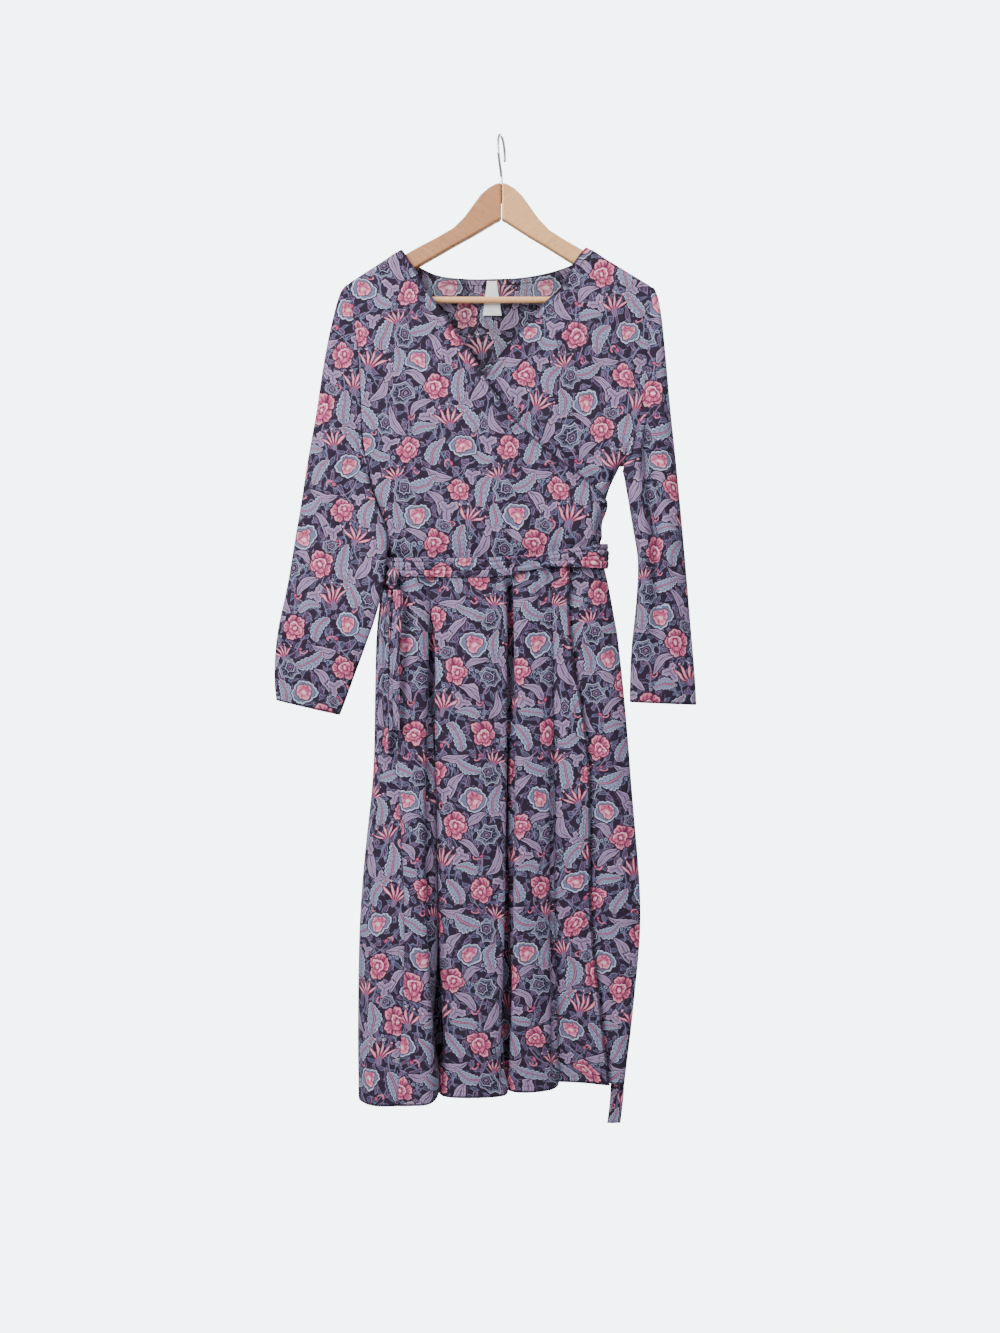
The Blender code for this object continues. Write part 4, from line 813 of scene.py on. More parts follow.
class Nodes:
    """Arithmetic of the print, made of shader nodes."""

    def __init__(self, tree):
        self.tree = tree
        self.near = None

    def new(self, kind, **values):
        node = self.tree.nodes.new(kind)
        for key, value in values.items():
            setattr(node, key, value)
        return node

    def feed(self, socket, value):
        if isinstance(value, Flow):
            self.tree.links.new(value.socket, socket)
        elif hasattr(value, "is_output"):
            self.tree.links.new(value, socket)
        else:
            socket.default_value = value

    def math(self, operation, *values, clamp=False):
        node = self.new("ShaderNodeMath", operation=operation, use_clamp=clamp)
        for socket, value in zip(node.inputs, values):
            self.feed(socket, value)
        return Flow(self, node.outputs[0])

    def colour(self, c):
        return tuple(c)

    def mix(self, col, ink, mask):
        node = self.new("ShaderNodeMix", data_type="RGBA", clamp_factor=True)
        self.feed(node.inputs[0], mask)
        for socket, value in ((node.inputs[6], col), (node.inputs[7], ink)):
            self.feed(socket, value + (1.0,) if isinstance(value, tuple) else value)
        return node.outputs[2]

    def soft(self, d, w):
        return self.math("MULTIPLY_ADD", d, 0.5 / w, 0.5, clamp=True)

    def wrap(self, v, centre, period):
        if centre:
            v = v - centre
        return self.math("WRAP", v, period / 2, -period / 2)

    def sin(self, a):
        return self.math("SINE", a)

    def cos(self, a):
        return self.math("COSINE", a)

    def abs(self, a):
        return self.math("ABSOLUTE", a)

    def sqrt(self, a):
        return self.math("SQRT", a)

    def min(self, a, b):
        return self.math("MINIMUM", a, b)

    def max(self, a, b):
        return self.math("MAXIMUM", a, b)

    def atan2(self, y, x):
        return self.math("ARCTAN2", y, x)

    def length(self, a, b):
        if self.near and a is self.near[0] and b is self.near[1]:
            return self.near[2]
        return self.sqrt(self.math("MULTIPLY_ADD", a, a, b * b))

    def vector(self, operation, *values):
        node = self.new("ShaderNodeVectorMath", operation=operation)
        for socket, value in zip(node.inputs, values):
            self.feed(socket, value)
        return node

    def nearest(self, places):
        """Coordinates about the nearest copy of the nearest place."""
        best = spot = None
        for x, y, turn, scale, mirror in places:
            wrapped = self.vector("WRAP", self.cloth, (x + REPEAT_X / 2, y + REPEAT_Y / 2, 1.0),
                                  (x - REPEAT_X / 2, y - REPEAT_Y / 2, -1.0)).outputs[0]
            a = math.radians(turn if mirror < 0 else -turn)
            sx, sy = 1.0 / scale, mirror / scale
            shift = (-(math.cos(a) * x * sx - math.sin(a) * y * sy), -(math.sin(a) * x * sx + math.cos(a) * y * sy), 0.0)
            turned = self.new("ShaderNodeMapping", vector_type="POINT")
            self.feed(turned.inputs[0], wrapped)
            turned.inputs[1].default_value = shift
            turned.inputs[2].default_value = (0.0, 0.0, a)
            turned.inputs[3].default_value = (sx, sy, 1.0)
            d = Flow(self, self.vector("LENGTH", turned.outputs[0]).outputs[1])
            if best is None:
                best, spot = d, turned.outputs[0]
            else:
                closer = self.math("LESS_THAN", d, best)
                best = self.min(d, best)
                pick = self.new("ShaderNodeMix", data_type="VECTOR", clamp_factor=True)
                self.feed(pick.inputs[0], closer)
                self.feed(pick.inputs[4], spot)
                self.feed(pick.inputs[5], turned.outputs[0])
                spot = pick.outputs[1]
        parts = self.new("ShaderNodeSeparateXYZ")
        self.feed(parts.inputs[0], spot)
        p, q = Flow(self, parts.outputs[0]), Flow(self, parts.outputs[1])
        self.near = (p, q, best)
        return p, q


def noise(k, vector, scale, detail=2.0, rough=0.5):
    node = k.new("ShaderNodeTexNoise")
    k.feed(node.inputs["Vector"], vector)
    node.inputs["Scale"].default_value = scale
    node.inputs["Detail"].default_value = detail
    node.inputs["Roughness"].default_value = rough
    return Flow(k, node.outputs[0])


def fresh(name):
    mat = bpy.data.materials.new(name)
    mat.use_nodes = True
    tree = mat.node_tree
    return mat, tree, tree.nodes["Principled BSDF"]


def cloth_material(name):
    """Soft printed jersey, right side."""
    mat, tree, shader = fresh(name)
    k = Nodes(tree)
    uv = k.new("ShaderNodeUVMap", uv_map="print").outputs[0]
    flat = k.vector("SCALE", uv)
    flat.inputs[3].default_value = 1000.0
    flat = flat.outputs[0]
    wob_u, wob_v = noise(k, flat, 0.11, 1.0), noise(k, k.vector("ADD", flat, (57.0, 91.0, 0.0)).outputs[0], 0.11, 1.0)
    push = k.new("ShaderNodeCombineXYZ")
    k.feed(push.inputs[0], k.math("MULTIPLY_ADD", wob_u, WOBBLE, -WOBBLE / 2))
    k.feed(push.inputs[1], k.math("MULTIPLY_ADD", wob_v, WOBBLE, -WOBBLE / 2))
    drift_u = noise(k, k.vector("ADD", flat, (310.0, 20.0, 0.0)).outputs[0], 0.026, 1.0)
    drift_v = noise(k, k.vector("ADD", flat, (-40.0, 510.0, 0.0)).outputs[0], 0.026, 1.0)
    slow = k.new("ShaderNodeCombineXYZ")
    k.feed(slow.inputs[0], k.math("MULTIPLY_ADD", drift_u, DRIFT, -DRIFT / 2))
    k.feed(slow.inputs[1], k.math("MULTIPLY_ADD", drift_v, DRIFT, -DRIFT / 2))
    k.cloth = k.vector("ADD", k.vector("ADD", flat, push.outputs[0]).outputs[0], slow.outputs[0]).outputs[0]
    parts = k.new("ShaderNodeSeparateXYZ")
    k.feed(parts.inputs[0], k.cloth)
    u, v = Flow(k, parts.outputs[0]), Flow(k, parts.outputs[1])
    col = cloth_print(k, u, v)
    # the ink lies unevenly on the yarn, and the cloth is a little worn
    worn = noise(k, flat, 0.035, 3.0)
    col = k.mix(col, INK["wear"], k.math("MULTIPLY_ADD", worn, 0.16, -0.05, clamp=True))
    grain = noise(k, k.vector("MULTIPLY", flat, (1.0, 0.35, 0.0)).outputs[0], 2.4, 1.0)
    col = k.mix(col, INK["ground"], k.math("MULTIPLY_ADD", grain, 0.30, -0.10, clamp=True))
    # painted shade: a dark line along every finished edge stands for the shadow at the turned edge, and a fainter line
    # 8.6 mm in stands for the shadow in the stitch groove
    layer = k.new("ShaderNodeSeparateXYZ")
    k.feed(layer.inputs[0], k.new("ShaderNodeUVMap", uv_map="edge").outputs[0])
    off = Flow(k, layer.outputs[1]) * 1000.0
    col = k.mix(col, INK["line"], k.soft(2.0 - off, 0.5) * 0.72)
    # painted shade of the stitch groove
    col = k.mix(col, INK["line"], k.soft(0.5 - k.abs(off - 8.6), 0.3) * 0.40)
    tree.links.new(col, shader.inputs["Base Color"])
    shader.inputs["Roughness"].default_value = 0.88
    shader.inputs["Specular IOR Level"].default_value = 0.14
    shader.inputs["Sheen Weight"].default_value = 0.08
    shader.inputs["Sheen Roughness"].default_value = 0.45
    shader.inputs["Sheen Tint"].default_value = (0.80, 0.80, 0.90, 1.0)
    # knit: fine ribs along the length, loops across, and soft handling dents
    raw = k.new("ShaderNodeSeparateXYZ")
    k.feed(raw.inputs[0], flat)
    fu, fv = Flow(k, raw.outputs[0]), Flow(k, raw.outputs[1])
    ribs = k.abs(k.sin(fu * (math.pi / 0.95))) * (0.55 + 0.45 * k.abs(k.sin(fv * (math.pi / 0.75))))
    dents = noise(k, flat, 0.045, 2.0, 0.55)
    band = Flow(k, seam_height(k))
    knit = k.new("ShaderNodeBump")
    knit.inputs["Strength"].default_value = 0.22
    knit.inputs["Distance"].default_value = 0.00022
    k.feed(knit.inputs["Height"], ribs)
    soft = k.new("ShaderNodeBump")
    soft.inputs["Strength"].default_value = 0.55
    soft.inputs["Distance"].default_value = 0.0030
    k.feed(soft.inputs["Height"], dents)
    tree.links.new(knit.outputs[0], soft.inputs["Normal"])
    sewn = k.new("ShaderNodeBump")
    sewn.inputs["Strength"].default_value = 0.9
    sewn.inputs["Distance"].default_value = 0.0009
    k.feed(sewn.inputs["Height"], band)
    tree.links.new(soft.outputs[0], sewn.inputs["Normal"])
    tree.links.new(sewn.outputs[0], shader.inputs["Normal"])
    return mat


def seam_height(k):
    """Height of hems: a band turned up to the stitch line, and its stitches.
    The second UV layer holds the distance along and from a sewn edge."""
    uv = k.new("ShaderNodeUVMap", uv_map="edge").outputs[0]
    parts = k.new("ShaderNodeSeparateXYZ")
    k.feed(parts.inputs[0], uv)
    along, off = Flow(k, parts.outputs[0]) * 1000.0, Flow(k, parts.outputs[1]) * 1000.0
    raised = k.soft(9.0 - off, 0.7)
    groove = k.soft(0.7 - k.abs(off - 8.6), 0.4)
    stitch = k.soft(1.1 - k.abs(k.wrap(along, 0.0, 3.4)), 0.3) * k.soft(0.55 - k.abs(off - 8.6), 0.25)
    total = k.math("MULTIPLY_ADD", groove, -0.9, raised) + stitch * 0.6
    return total.socket


def wrong_side(right, name):
    """The same cloth from behind: the print greyer, and darkened as painted shade of the dress's inside."""
    mat = right.copy()
    mat.name = name
    tree = mat.node_tree
    shader = tree.nodes["Principled BSDF"]
    link = shader.inputs["Base Color"].links[0]
    source = link.from_socket
    hsv = tree.nodes.new("ShaderNodeHueSaturation")
    hsv.inputs["Saturation"].default_value = 0.85
    # painted shade: the value is lowered to stand for the shade inside the dress
    hsv.inputs["Value"].default_value = 0.72
    tree.links.new(source, hsv.inputs["Color"])
    tree.links.new(hsv.outputs[0], shader.inputs["Base Color"])
    return mat


def wood_material(name, pale, deep, seed, rough):
    """Planed beech: long grain lines, short dark flecks and a thin clear coat."""
    mat, tree, shader = fresh(name)
    k = Nodes(tree)
    place = k.new("ShaderNodeTexCoord").outputs["Object"]
    lean = k.new("ShaderNodeMapping", vector_type="POINT")
    k.feed(lean.inputs[0], place)
    lean.inputs[1].default_value = (seed * 0.37, seed * 0.11, seed * 0.23)
    lean.inputs[2].default_value = (0.0, math.radians(-36.0 if seed % 2 else 36.0), 0.0)
    lean.inputs[3].default_value = (1.0, 1.0, 1.0)
    stretch = k.vector("MULTIPLY", lean.outputs[0], (0.055, 1.0, 1.0)).outputs[0]
    rings = noise(k, stretch, 260.0, 3.0, 0.6)
    broad = noise(k, k.vector("MULTIPLY", lean.outputs[0], (0.12, 1.0, 1.0)).outputs[0], 60.0, 2.0)
    fleck = noise(k, k.vector("MULTIPLY", lean.outputs[0], (0.10, 1.0, 1.0)).outputs[0], 1500.0, 0.0)
    base = k.mix(pale, deep, k.math("MULTIPLY_ADD", rings, 1.5, -0.35, clamp=True))
    base = k.mix(base, deep, k.math("MULTIPLY_ADD", broad, 0.9, -0.25, clamp=True))
    dark = tuple(c * 0.55 for c in deep)
    base = k.mix(base, dark, k.math("MULTIPLY_ADD", fleck, 7.0, -4.6, clamp=True) * 0.6)
    tree.links.new(base, shader.inputs["Base Color"])
    k.feed(shader.inputs["Roughness"], k.math("MULTIPLY_ADD", rings, 0.16, rough - 0.08))
    shader.inputs["Coat Weight"].default_value = 0.18
    shader.inputs["Coat Roughness"].default_value = 0.35
    bump = k.new("ShaderNodeBump")
    bump.inputs["Strength"].default_value = 0.25
    bump.inputs["Distance"].default_value = 0.0002
    k.feed(bump.inputs["Height"], rings + fleck * 0.6)
    tree.links.new(bump.outputs[0], shader.inputs["Normal"])
    return mat


def steel_material():
    mat, tree, shader = fresh("zinc_wire")
    k = Nodes(tree)
    place = k.new("ShaderNodeTexCoord").outputs["Object"]
    drawn = noise(k, k.vector("MULTIPLY", place, (1.0, 1.0, 0.08)).outputs[0], 1800.0, 1.0)
    spots = noise(k, place, 240.0, 3.0, 0.6)
    base = k.mix((0.60, 0.60, 0.61), (0.36, 0.36, 0.37), k.math("MULTIPLY_ADD", spots, 2.0, -0.8, clamp=True))
    tree.links.new(base, shader.inputs["Base Color"])
    shader.inputs["Metallic"].default_value = 1.0
    k.feed(shader.inputs["Roughness"], k.math("MULTIPLY_ADD", spots, 0.25, 0.20))
    bump = k.new("ShaderNodeBump")
    bump.inputs["Strength"].default_value = 0.3
    bump.inputs["Distance"].default_value = 0.0001
    k.feed(bump.inputs["Height"], drawn)
    tree.links.new(bump.outputs[0], shader.inputs["Normal"])
    return mat


def tape_material():
    """White woven cotton tape, left bare."""
    mat, tree, shader = fresh("cotton_tape")
    k = Nodes(tree)
    uv = k.new("ShaderNodeUVMap", uv_map="print").outputs[0]
    flat = k.vector("SCALE", uv)
    flat.inputs[3].default_value = 1000.0
    parts = k.new("ShaderNodeSeparateXYZ")
    k.feed(parts.inputs[0], flat.outputs[0])
    u, v = Flow(k, parts.outputs[0]), Flow(k, parts.outputs[1])
    weave = k.abs(k.sin(u * (math.pi / 0.55) + 1.57)) * k.abs(k.sin(v * (math.pi / 0.55)))
    soil = noise(k, flat.outputs[0], 0.12, 3.0)
    base = k.mix((0.82, 0.82, 0.84), (0.64, 0.63, 0.63), k.math("MULTIPLY_ADD", soil, 1.2, -0.35, clamp=True))
    base = k.mix(base, (0.50, 0.50, 0.53), k.math("MULTIPLY_ADD", weave, -0.35, 0.25, clamp=True))
    tree.links.new(base, shader.inputs["Base Color"])
    shader.inputs["Roughness"].default_value = 0.8
    shader.inputs["Sheen Weight"].default_value = 0.1
    bump = k.new("ShaderNodeBump")
    bump.inputs["Strength"].default_value = 0.5
    bump.inputs["Distance"].default_value = 0.0002
    k.feed(bump.inputs["Height"], weave)
    tree.links.new(bump.outputs[0], shader.inputs["Normal"])
    return mat


def plain_material(name, pale, deep, scale, glow=0.0):
    mat, tree, shader = fresh(name)
    k = Nodes(tree)
    place = k.new("ShaderNodeTexCoord").outputs["Object"]
    cloud = noise(k, place, scale, 3.0)
    tree.links.new(k.mix(pale, deep, k.math("MULTIPLY_ADD", cloud, 1.4, -0.2, clamp=True)), shader.inputs["Base Color"])
    shader.inputs["Roughness"].default_value = 0.75
    shader.inputs["Emission Color"].default_value = (0.93, 0.96, 1.0, 1.0)
    shader.inputs["Emission Strength"].default_value = glow
    return mat


# ------------------------------------------------------------------ pieces
PRINTS = {}            # each panel lies at its own place on the printed cloth


def seen(px, py, y=-24.0):
    """x and z where the sight line through a point of the frame meets depth y."""
    a, b = (px - 500.0) / 1100.0, (666.5 - py) / 1100.0
    pitch = math.radians(-1.7444)
    forward = math.cos(pitch) - b * math.sin(pitch)
    rise = math.sin(pitch) + b * math.cos(pitch)
    k = (y + 1560.0) / forward
    return (-2.13 + a * k, -692.57 + rise * k)


def sheet(name, grid, n, mats, uv, edge=None, wall=WALL, closed=False):
    """Mesh of a cloth piece: quads with UVs, thickened outward."""
    rows, cols = grid.shape[:2]
    mesh = bpy.data.meshes.new(name)
    verts = (grid * MM).reshape(-1, 3)
    index = np.arange(rows * cols).reshape(rows, cols)
    count = cols
    if closed:                                # last column is the first again
        index = index.copy()
        index[:, -1] = index[:, 0]
    a, b, c, d = index[:-1, :-1], index[1:, :-1], index[1:, 1:], index[:-1, 1:]
    faces = np.stack([a, b, c, d], -1).reshape(-1, 4)
    corner = np.arange(rows * cols).reshape(rows, cols)
    ca, cb, cc, cd = corner[:-1, :-1], corner[1:, :-1], corner[1:, 1:], corner[:-1, 1:]
    corners = np.stack([ca, cb, cc, cd], -1).reshape(-1, 4)
    # face the way of the outward normals
    p = grid.reshape(-1, 3)
    fn = np.cross(p[corners[:, 2]] - p[corners[:, 0]], p[corners[:, 3]] - p[corners[:, 1]])
    if (fn * n.reshape(-1, 3)[corners[:, 0]]).sum() < 0:
        faces, corners = faces[:, ::-1], corners[:, ::-1]
    used = np.unique(faces)
    remap = np.full(rows * cols, -1)
    remap[used] = np.arange(len(used))
    mesh.from_pydata(verts[used].tolist(), [], remap[faces].tolist())
    layer = mesh.uv_layers.new(name="print")
    layer.data.foreach_set("uv", (uv.reshape(-1, 2)[corners.reshape(-1)] * MM).ravel())
    second = mesh.uv_layers.new(name="edge")
    if edge is None:
        edge = np.stack([np.zeros((rows, cols)), np.full((rows, cols), 500.0)], -1)
    second.data.foreach_set("uv", (edge.reshape(-1, 2)[corners.reshape(-1)] * MM).ravel())
    mesh.uv_layers.active = layer
    for mat in mats:
        mesh.materials.append(mat)
    mesh.shade_smooth()
    mesh.update()
    obj = bpy.data.objects.new(name, mesh)
    bpy.context.scene.collection.objects.link(obj)
    solid = obj.modifiers.new("wall", "SOLIDIFY")
    solid.thickness = wall * MM
    solid.offset = 1.0
    solid.use_quality_normals = True
    if len(mats) > 1:
        solid.material_offset = 1
    return obj


def joined(grid, u, v, mid, place):
    """UVs on the flat cloth: level distance along each row from its middle
    column, and height.  The grain hangs straight."""
    step = np.linalg.norm(np.diff(grid[..., :2], axis=1), axis=-1)
    run = np.concatenate([np.zeros((len(grid), 1)), np.cumsum(step, axis=1)], axis=1)
    facing = np.sign(grid[len(grid) // 2, mid + 3, 0] - grid[len(grid) // 2, mid - 3, 0])
    across = grid[:, mid:mid + 1, 0] + facing * (run - run[:, mid:mid + 1])
    return np.stack([across + place[0], grid[..., 2] + place[1]], -1)


def push(grid, n, height, flat=0.0):
    return grid + n * (height[..., None] + SKIN)


def follow(grid, n, distances, side, inward):
    """Sheet points at distances in from one edge, set inward of the surface."""
    if side == "left":
        g, m = grid, n
    elif side == "right":
        g, m = grid[:, ::-1], n[:, ::-1]
    else:
        g, m = grid[::-1].swapaxes(0, 1), n[::-1].swapaxes(0, 1)
    out = []
    for row, up in zip(g, m):
        run = measured(row)
        p = np.stack([np.interp(distances, run, row[:, c]) for c in range(3)], -1)
        q = np.stack([np.interp(distances, run, up[:, c]) for c in range(3)], -1)
        out.append(p - q * inward)
    return np.array(out)                      # (edge point, distance, 3)


def turned_in(grid, n, side, uv, edge, reach=9.0, radius=0.75, steps=5):
    """Carry a sheet round a small roll at one edge and back along its inside."""
    g = {"left": grid[:, :8], "right": grid[:, -8:][:, ::-1], "foot": grid[-8:][::-1].swapaxes(0, 1)}[side]
    m = {"left": n[:, :8], "right": n[:, -8:][:, ::-1], "foot": n[-8:][::-1].swapaxes(0, 1)}[side]
    ahead = g[:, 0] - g[:, 3]
    ahead /= np.maximum(np.linalg.norm(ahead, axis=-1, keepdims=True), 1e-9)
    up = m[:, 1]
    extra = []
    for i in range(1, steps + 1):
        a = math.pi * i / steps
        extra.append(g[:, 0] + ahead * (radius * math.sin(a)) - up * (radius * (1 - math.cos(a))))
    back = follow(grid, n, reach * np.array([0.3, 0.65, 1.0]), side, 2 * radius)
    extra = np.concatenate([np.stack(extra, 1), back], axis=1)
    k = extra.shape[1]
    far = np.full(k, 500.0)
    shift = np.concatenate([np.linspace(0.4, 2.0, steps), 2.0 + reach * np.array([0.3, 0.65, 1.0])])
    def spare(layer, step):
        base = {"left": layer[:, :1], "right": layer[:, -1:], "foot": layer[-1:].swapaxes(0, 1)}[side]
        return base + step
    du = {"left": (-1.0, 0.0), "right": (1.0, 0.0), "foot": (0.0, -1.0)}[side]
    uv_extra = spare(uv, shift[None, :, None] * np.array(du)[None, None, :])
    edge_extra = np.repeat(spare(edge, 0.0), k, axis=1)
    edge_extra[..., 1] = np.where(np.arange(k)[None, :] < 2, 0.0, 500.0)
    n_extra = np.repeat(m[:, :1], k, axis=1)
    if side == "left":
        cat = lambda x, e: np.concatenate([e[:, ::-1], x], axis=1)
    elif side == "right":
        cat = lambda x, e: np.concatenate([x, e], axis=1)
    else:
        cat = lambda x, e: np.concatenate([x, e.swapaxes(0, 1)], axis=0)
    return cat(grid, extra), cat(n, n_extra), cat(uv, uv_extra), cat(edge, edge_extra)


def from_edges(u, v, left=False, right=False, foot=False):
    """Edge layer: distance along, and distance from, the nearest finished edge."""
    off = np.full(u.shape, 500.0)
    run = v.copy()
    for wanted, distance, along in ((left, u, v), (right, u[:, -1:] - u, v), (foot, v[-1:] - v, u)):
        if wanted:
            closer = distance < off
            off = np.where(closer, distance, off)
            run = np.where(closer, along, run)
    return np.stack([run, off], -1)


def seam_dip(distance, deep=0.55, wide=1.6):
    return -deep * np.exp(-(distance / wide) ** 2)


def belt_top(x):
    """Height of the belt's upper edge in front."""
    row = [(b[1], b[3]) for b in BELT if b[2] < -10.0]
    row = sorted(row)
    return np.interp(x, [p[0] for p in row], [p[1] for p in row])


def bodice_piece(name, layer, mats, place):
    grid = bodice_grid(layer)
    if layer == "over":
        grid = leaned(grid, smooth((grid[..., 0] - 100.0) / 42.0), OVER_LEAN)
    n = outward(grid, (0.0, -400.0) if layer == "back" else (0.0, 400.0))
    u, v = cloth_size(grid)
    x, z = grid[..., 0], grid[..., 2]
    over_waist = z - waist_z(x)
    calm = smooth((shoulder_line(x) - z) / 30.0)
    h = 0.9 * crumple(x, z, {"over": 3, "under": 5, "back": 8}[layer], 120.0, 170.0) * calm
    # gathers held in by the belt
    pleat = np.abs(np.sin((u + 4.0 * wander(u, 21, 30.0)) * math.pi / 15.0)) - 0.6
    h += 1.7 * pleat * np.exp(-np.maximum(over_waist, 0.0) / 30.0) * (0.7 + 0.5 * wander(u, 22, 45.0))
    if layer != "back":                                     # drawn in where the belt bites
        h -= 2.2 * np.exp(-((z - belt_top(x)) / 3.6) ** 2) - 1.4 * np.exp(-((z - belt_top(x) - 11.0) / 5.0) ** 2)
    for path, high, wide, start, end in BODICE_CREASES[layer]:
        if layer == "back":
            line = path
        else:
            line = [seen(px, py) for px, py in path]
        h += crease(x, z, line, high, wide, start, end)
    if layer != "under":
        h *= smooth((u - 0.5) / 12.0)
    if layer != "over":
        h *= smooth((u[:, -1:] - u - 0.5) / 12.0)
    if layer == "over":
        h += seam_dip(u)
        lip = u[:, -1:] - u                                 # the turned edge stands off the front beneath
        h += (3.6 * np.exp(-(lip / 6.5) ** 2) - 1.1 * np.exp(-((lip - 9.5) / 1.5) ** 2)) * smooth(over_waist / 40.0) * calm
        edge = from_edges(u, v, right=True)
        grid = push(grid, n, h)
        uv = joined(grid, u, v, 40, place)
        grid, n, uv, edge = turned_in(grid, n, "right", uv, edge)
    elif layer == "under":
        h += seam_dip(u[:, -1:] - u)
        edge = from_edges(u, v, left=True)
        grid = push(grid, n, h)
        uv = joined(grid, u, v, 50, place)
        grid, n, uv, edge = turned_in(grid, n, "left", uv, edge)
    else:
        neck = (x > NECK_LEFT[0] + 6) & (x < NECK_RIGHT[0] - 6)
        h *= smooth((-z - 235.0) / 40.0)
        h += seam_dip(u) + seam_dip(u[:, -1:] - u)
        edge = np.stack([u, np.where(neck, v, 500.0)], -1)
        grid = push(grid, n, h)
        uv = joined(grid, u, v, grid.shape[1] // 2, place)
    return sheet(name, grid, n, mats, uv, edge)


def leaned(grid, reach, table):
    """Shift part of a sheet by (height, sideways, in depth) steps, blended."""
    step = np.array(sorted(table))
    for axis in (0, 1):
        grid[..., axis] += np.interp(grid[..., 2], step[:, 0], step[:, 1 + axis]) * reach
    return grid


def sleeve_piece(name, rows, side, layer, out, mats, place, creases, lean):
    grid = sleeve_grid(rows, side, layer, out)
    inner = np.abs(np.arange(grid.shape[1]) / (grid.shape[1] - 1) - 0.5)
    grid = leaned(grid, smooth((0.24 - inner) / 0.15)[None], lean)
    n = outward(grid, "row", wrap=True)
    u, v = cloth_size(grid)
    cols = grid.shape[1]
    v = np.repeat(measured(grid)[:, None], cols, axis=1)
    around = np.arange(cols) / (cols - 1)                   # 0 outer, 0.5 inner, 1 outer
    share = np.repeat(around[None], len(grid), axis=0)
    down = v / v[-1, 0]
    h = 0.75 * crumple(np.cos(share * 6.2832) * 26.0 + 40.0 * (share < 0.5), v, 31 if out < 0 else 32, 60.0, 150.0)
    h *= smooth(down / 0.06) * smooth((1 - down) / 0.04)
    for path, high, wide, start, end in creases:            # path in (share of the front, down the sleeve)
        # the front half is drawn 0 (outer fold) to 1 (inner fold)
        across = 100.0
        line = [(a * across, b * v[-1, 0]) for a, b in path]
        h += crease(share * 2.0 * across, v, line, high, wide, start, end)
    h += seam_dip(v - v[0, 0], 0.5, 2.0)
    h[:, -1] = h[:, 0]
    grid = push(grid, n, h)
    grid[:, -1] = grid[:, 0]
    uv = joined(grid, u, v, cols // 4, place)
    edge = from_edges(u, v, foot=True)
    grid, n, uv, edge = turned_in(grid, n, "foot", uv, edge)
    grid[:, -1] = grid[:, 0]
    return sheet(name, grid, n, mats, uv, edge, closed=True)


def skirt_piece(name, first, last, inside, mats, place, seed, seams, free, creases):
    names = [row[0] for row in SKIRT]
    grid, where, ts = skirt_grid(first, last)
    u, v = cloth_size(grid)
    x, z = grid[..., 0], grid[..., 2]
    down = np.repeat(ts[:, None], grid.shape[1], axis=1)
    below = v
    mid = grid.shape[1] // 2
    sewn = np.ones(u.shape)                                 # both sides of a seam lie alike
    if "left" in seams:
        sewn *= smooth((u - 1.0) / 18.0)
    if "right" in seams:
        sewn *= smooth((u[:, -1:] - u - 1.0) / 18.0)
    for fold, near, top, foot in PINCHES.get(last, ()):     # lips of the deep folds drawn together
        column = int(round((names.index(fold) - where[0]) / (where[1] - where[0])))
        d = x - x[:, column:column + 1]
        wide = lerp(top, foot, down)
        r = np.abs(d) / wide
        close = np.sign(d) * (r * np.exp(1.0 - r)) ** 2 * near * wide * smooth(down / 0.10)
        grid[..., 0] -= close * sewn
    x = grid[..., 0]
    n = outward(grid, inside)
    cu = u - u[:, mid:mid + 1]
    h = 1.0 * crumple(cu, v, seed, 70.0, 900.0) * smooth(down / 0.2)
    h += 0.55 * crumple(cu, v, seed + 1, 46.0, 160.0)
    pleat = np.abs(np.sin((cu + 5.0 * wander(cu, seed + 2, 26.0)) * math.pi / 13.5)) - 0.6
    h += 1.9 * pleat * np.exp(-below / 42.0) * (0.75 + 0.5 * wander(cu, seed + 3, 40.0))
    for path, high, wide, start, end in creases:
        line = [seen(px, py) for px, py in path]
        h += crease(x, z, line, high, wide, start, end)
    h *= sewn
    if "left" in seams:
        h += seam_dip(u)
    if "right" in seams:
        h += seam_dip(u[:, -1:] - u)
    grid = push(grid, n, h)
    uv = joined(grid, u, v, mid, place)
    edge = from_edges(u, v, left=free == "left", right=free == "right", foot=True)
    grid, n, uv, edge = turned_in(grid, n, "foot", uv, edge)
    if free == "right":
        grid, n, uv, edge = turned_in(grid, n, "right", uv, edge)
    elif free == "left":
        grid, n, uv, edge = turned_in(grid, n, "left", uv, edge)
    return sheet(name, grid, n, mats, uv, edge)


